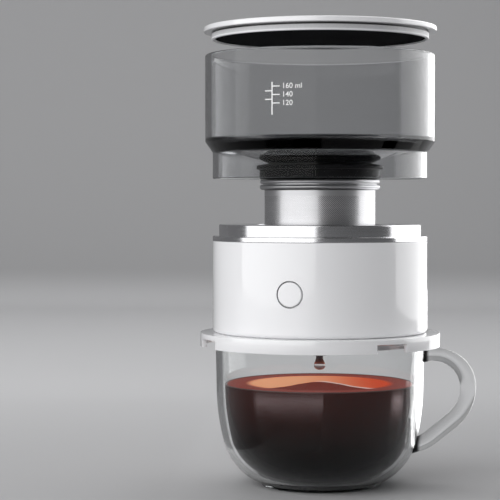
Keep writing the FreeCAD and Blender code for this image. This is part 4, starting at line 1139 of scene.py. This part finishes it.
class COFFEE_OT_stage(bpy.types.Operator):
    """Lay the floor and set the lights and the camera"""
    bl_idname = "coffee_maker.stage"
    bl_label = "Stage"

    def execute(self, context):
        stage = settings("stage")
        self.backdrop(stage)
        self.lamp("key_softbox", stage.azimuth - math.radians(47), 14, 1.2, (2.3, 1.7), stage.key)
        self.lamp("top_softbox", stage.azimuth + math.radians(180), 68, 1.3, (1.6, 1.2), stage.top)
        side = (stage.azimuth + math.radians(124), 8, 1.0, (1.56, 1.6))
        low = (stage.azimuth + math.radians(137), -20, 0.16, (0.13, 0.075))
        skips = self.group("panel_skips", "EXCLUDE", "studio_sheet")
        fill = self.lamp("side_fill", *side, stage.side)
        fill.visible_glossy = False
        fill.light_linking.receiver_collection = skips
        self.panel("side_panel", *side, skips)
        self.panel("edge_panel", *low, self.group("edge_skips", "EXCLUDE", "studio_sheet", "clear_tank"))
        world = bpy.data.worlds.new("studio")
        world.use_nodes = True
        sky = world.node_tree.nodes["Background"].inputs
        sky["Color"].default_value = (0.97, 0.98, 1.0, 1)
        sky["Strength"].default_value = stage.ambient
        context.scene.world = world
        context.scene.view_settings.view_transform = "Standard"
        camera = bpy.data.cameras.new("photo_view")
        camera.sensor_width = 36
        camera.lens = stage.lens
        camera.clip_start = 0.01
        eye = show("photo_view", camera)
        eye.location = (stage.distance * math.sin(stage.azimuth), -stage.distance * math.cos(stage.azimuth),
                        stage.height)
        eye.rotation_euler = (math.pi / 2 - stage.pitch, 0, stage.azimuth + stage.yaw)
        context.scene.camera = eye
        return {"FINISHED"}

    def backdrop(self, stage):
        """Sweep paper from the floor up a wall, and set dark flags and glowing cards for the glass to mirror.

        Their places run to the right, away and up, as the camera sees them.
        """
        turn = Matrix.Rotation(stage.azimuth, 4, "Z")
        near, sweep, rise, half = 1.15, 0.35, 2.2, 4.0
        curve = arc_between((near, 0.0), (near + sweep, sweep), sweep, 24)
        line = [(-5.0, 0.0), (near, 0.0)] + curve + [(near + sweep, rise)]
        paper = [((-half, away, up), (half, away, up)) for away, up in line]
        self.sheet("studio_sheet", paper, turn, "studio_paper")
        left, right, front, side, back, low, high = -0.42, -0.06, -0.10, 0.05, 0.30, 0.001, 0.5
        flags = {"back_flag": [((left, back, up), (right, back, up)) for up in (low, high)],
                 "floor_flag": [((left, away, low), (right, away, low)) for away in (front, back)],
                 "side_flag": [((left, side, up), (left, back, up)) for up in (low, high)]}
        for name, rows in flags.items():
            self.card(name, rows, turn, "flag_grey")
        cards = {"front_card": (((-0.06, -0.04), (0.0, -0.065)), ((-0.40, -0.11), (0.03, -0.42))),
                 "right_card": (((0.07, -0.031), (0.07, -0.014)), ((0.45, -0.03), (0.45, 0.09)))}
        takers = self.group("card_takers", "INCLUDE", "mug_bowl")
        for name, edges in cards.items():
            self.card(name, [[(*spot, low) for spot in edge] for edge in edges], turn, "card_glow", takers)

    def group(self, name, state, *pieces):
        """A light linking group of pieces, which a lamp alone lights or skips."""
        takers = bpy.data.collections.new(name)
        for piece in pieces:
            takers.objects.link(bpy.data.objects[piece])
        for member in takers.collection_objects:
            member.light_linking.link_state = state
        return takers

    def sheet(self, name, rows, turn, coat):
        """A sheet through rows of two places each, turned into its own place."""
        shape = bmesh.new()
        rows = [[shape.verts.new(turn @ Vector(spot)) for spot in row] for row in rows]
        for low, high in zip(rows, rows[1:]):
            shape.faces.new([*low, *reversed(high)])
        mesh = to_mesh(name, shape)
        mesh.shade_smooth()
        sheet = show(name, mesh)
        sheet.data.materials.append(finish_for(coat))
        return sheet

    def card(self, name, rows, turn, coat, group=None):
        """A sheet that metal and glass mirror, and nothing else meets. A group says what its glow lights."""
        card = self.sheet(name, rows, turn, coat)
        card.visible_camera = card.visible_diffuse = card.visible_shadow = False
        card.light_linking.receiver_collection = group

    def panel(self, name, azimuth, elevation, distance, size, group):
        """Stand a glowing panel that looks at the machine's middle."""
        across, up = size[0] / 2, size[1] / 2
        rows = [((-across, edge, 0), (across, edge, 0)) for edge in (-up, up)]
        self.card(name, rows, self.facing(azimuth, elevation, distance), "panel_glow", group)

    def facing(self, azimuth, elevation, distance):
        """A place round the machine, turned to look at its middle."""
        middle, lift = Vector((0, 0, 0.09)), math.radians(elevation)
        level = math.cos(lift)
        out = Vector((math.sin(azimuth) * level, -math.cos(azimuth) * level, math.sin(lift)))
        turn = out.to_track_quat("Z", "Y").to_matrix().to_4x4()
        return Matrix.Translation(middle + out * distance) @ turn

    def lamp(self, name, azimuth, elevation, distance, size, brightness):
        """Hang a softbox that looks at the machine's middle."""
        light = bpy.data.lights.new(name, "AREA")
        light.shape = "RECTANGLE"
        light.size, light.size_y = size
        light.energy = brightness * math.pi * size[0] * size[1]
        lamp = show(name, light)
        lamp.matrix_world = self.facing(azimuth, elevation, distance)
        lamp.visible_camera = lamp.visible_transmission = False
        return lamp


PIECES = [COFFEE_OT_mug, COFFEE_OT_brew, COFFEE_OT_cover, COFFEE_OT_shell, COFFEE_OT_button,
          COFFEE_OT_top_ring, COFFEE_OT_filter, COFFEE_OT_tank, COFFEE_OT_scale, COFFEE_OT_lid,
          COFFEE_OT_screws, COFFEE_OT_inside, COFFEE_OT_stage]


class COFFEE_PT_panel(bpy.types.Panel):
    """Lists the pieces in the order they are made"""
    bl_idname = "COFFEE_PT_panel"
    bl_label = "Drip coffee maker"
    bl_space_type = "VIEW_3D"
    bl_region_type = "UI"
    bl_category = "Coffee maker"

    def draw(self, context):
        for piece in PIECES:
            self.layout.operator(piece.bl_idname)


def register():
    for kind in [*SETTINGS.values(), *PIECES, COFFEE_PT_panel]:
        bpy.utils.register_class(kind)
    for name, kind in SETTINGS.items():
        setattr(bpy.types.Scene, "coffee_maker_" + name, PointerProperty(type=kind))


def unregister():
    for name in SETTINGS:
        delattr(bpy.types.Scene, "coffee_maker_" + name)
    for kind in reversed([*SETTINGS.values(), *PIECES, COFFEE_PT_panel]):
        bpy.utils.unregister_class(kind)


def main():
    register()
    for piece in PIECES:
        group, operator = piece.bl_idname.split(".")
        getattr(getattr(bpy.ops, group), operator)()


if __name__ == "__main__":
    main()
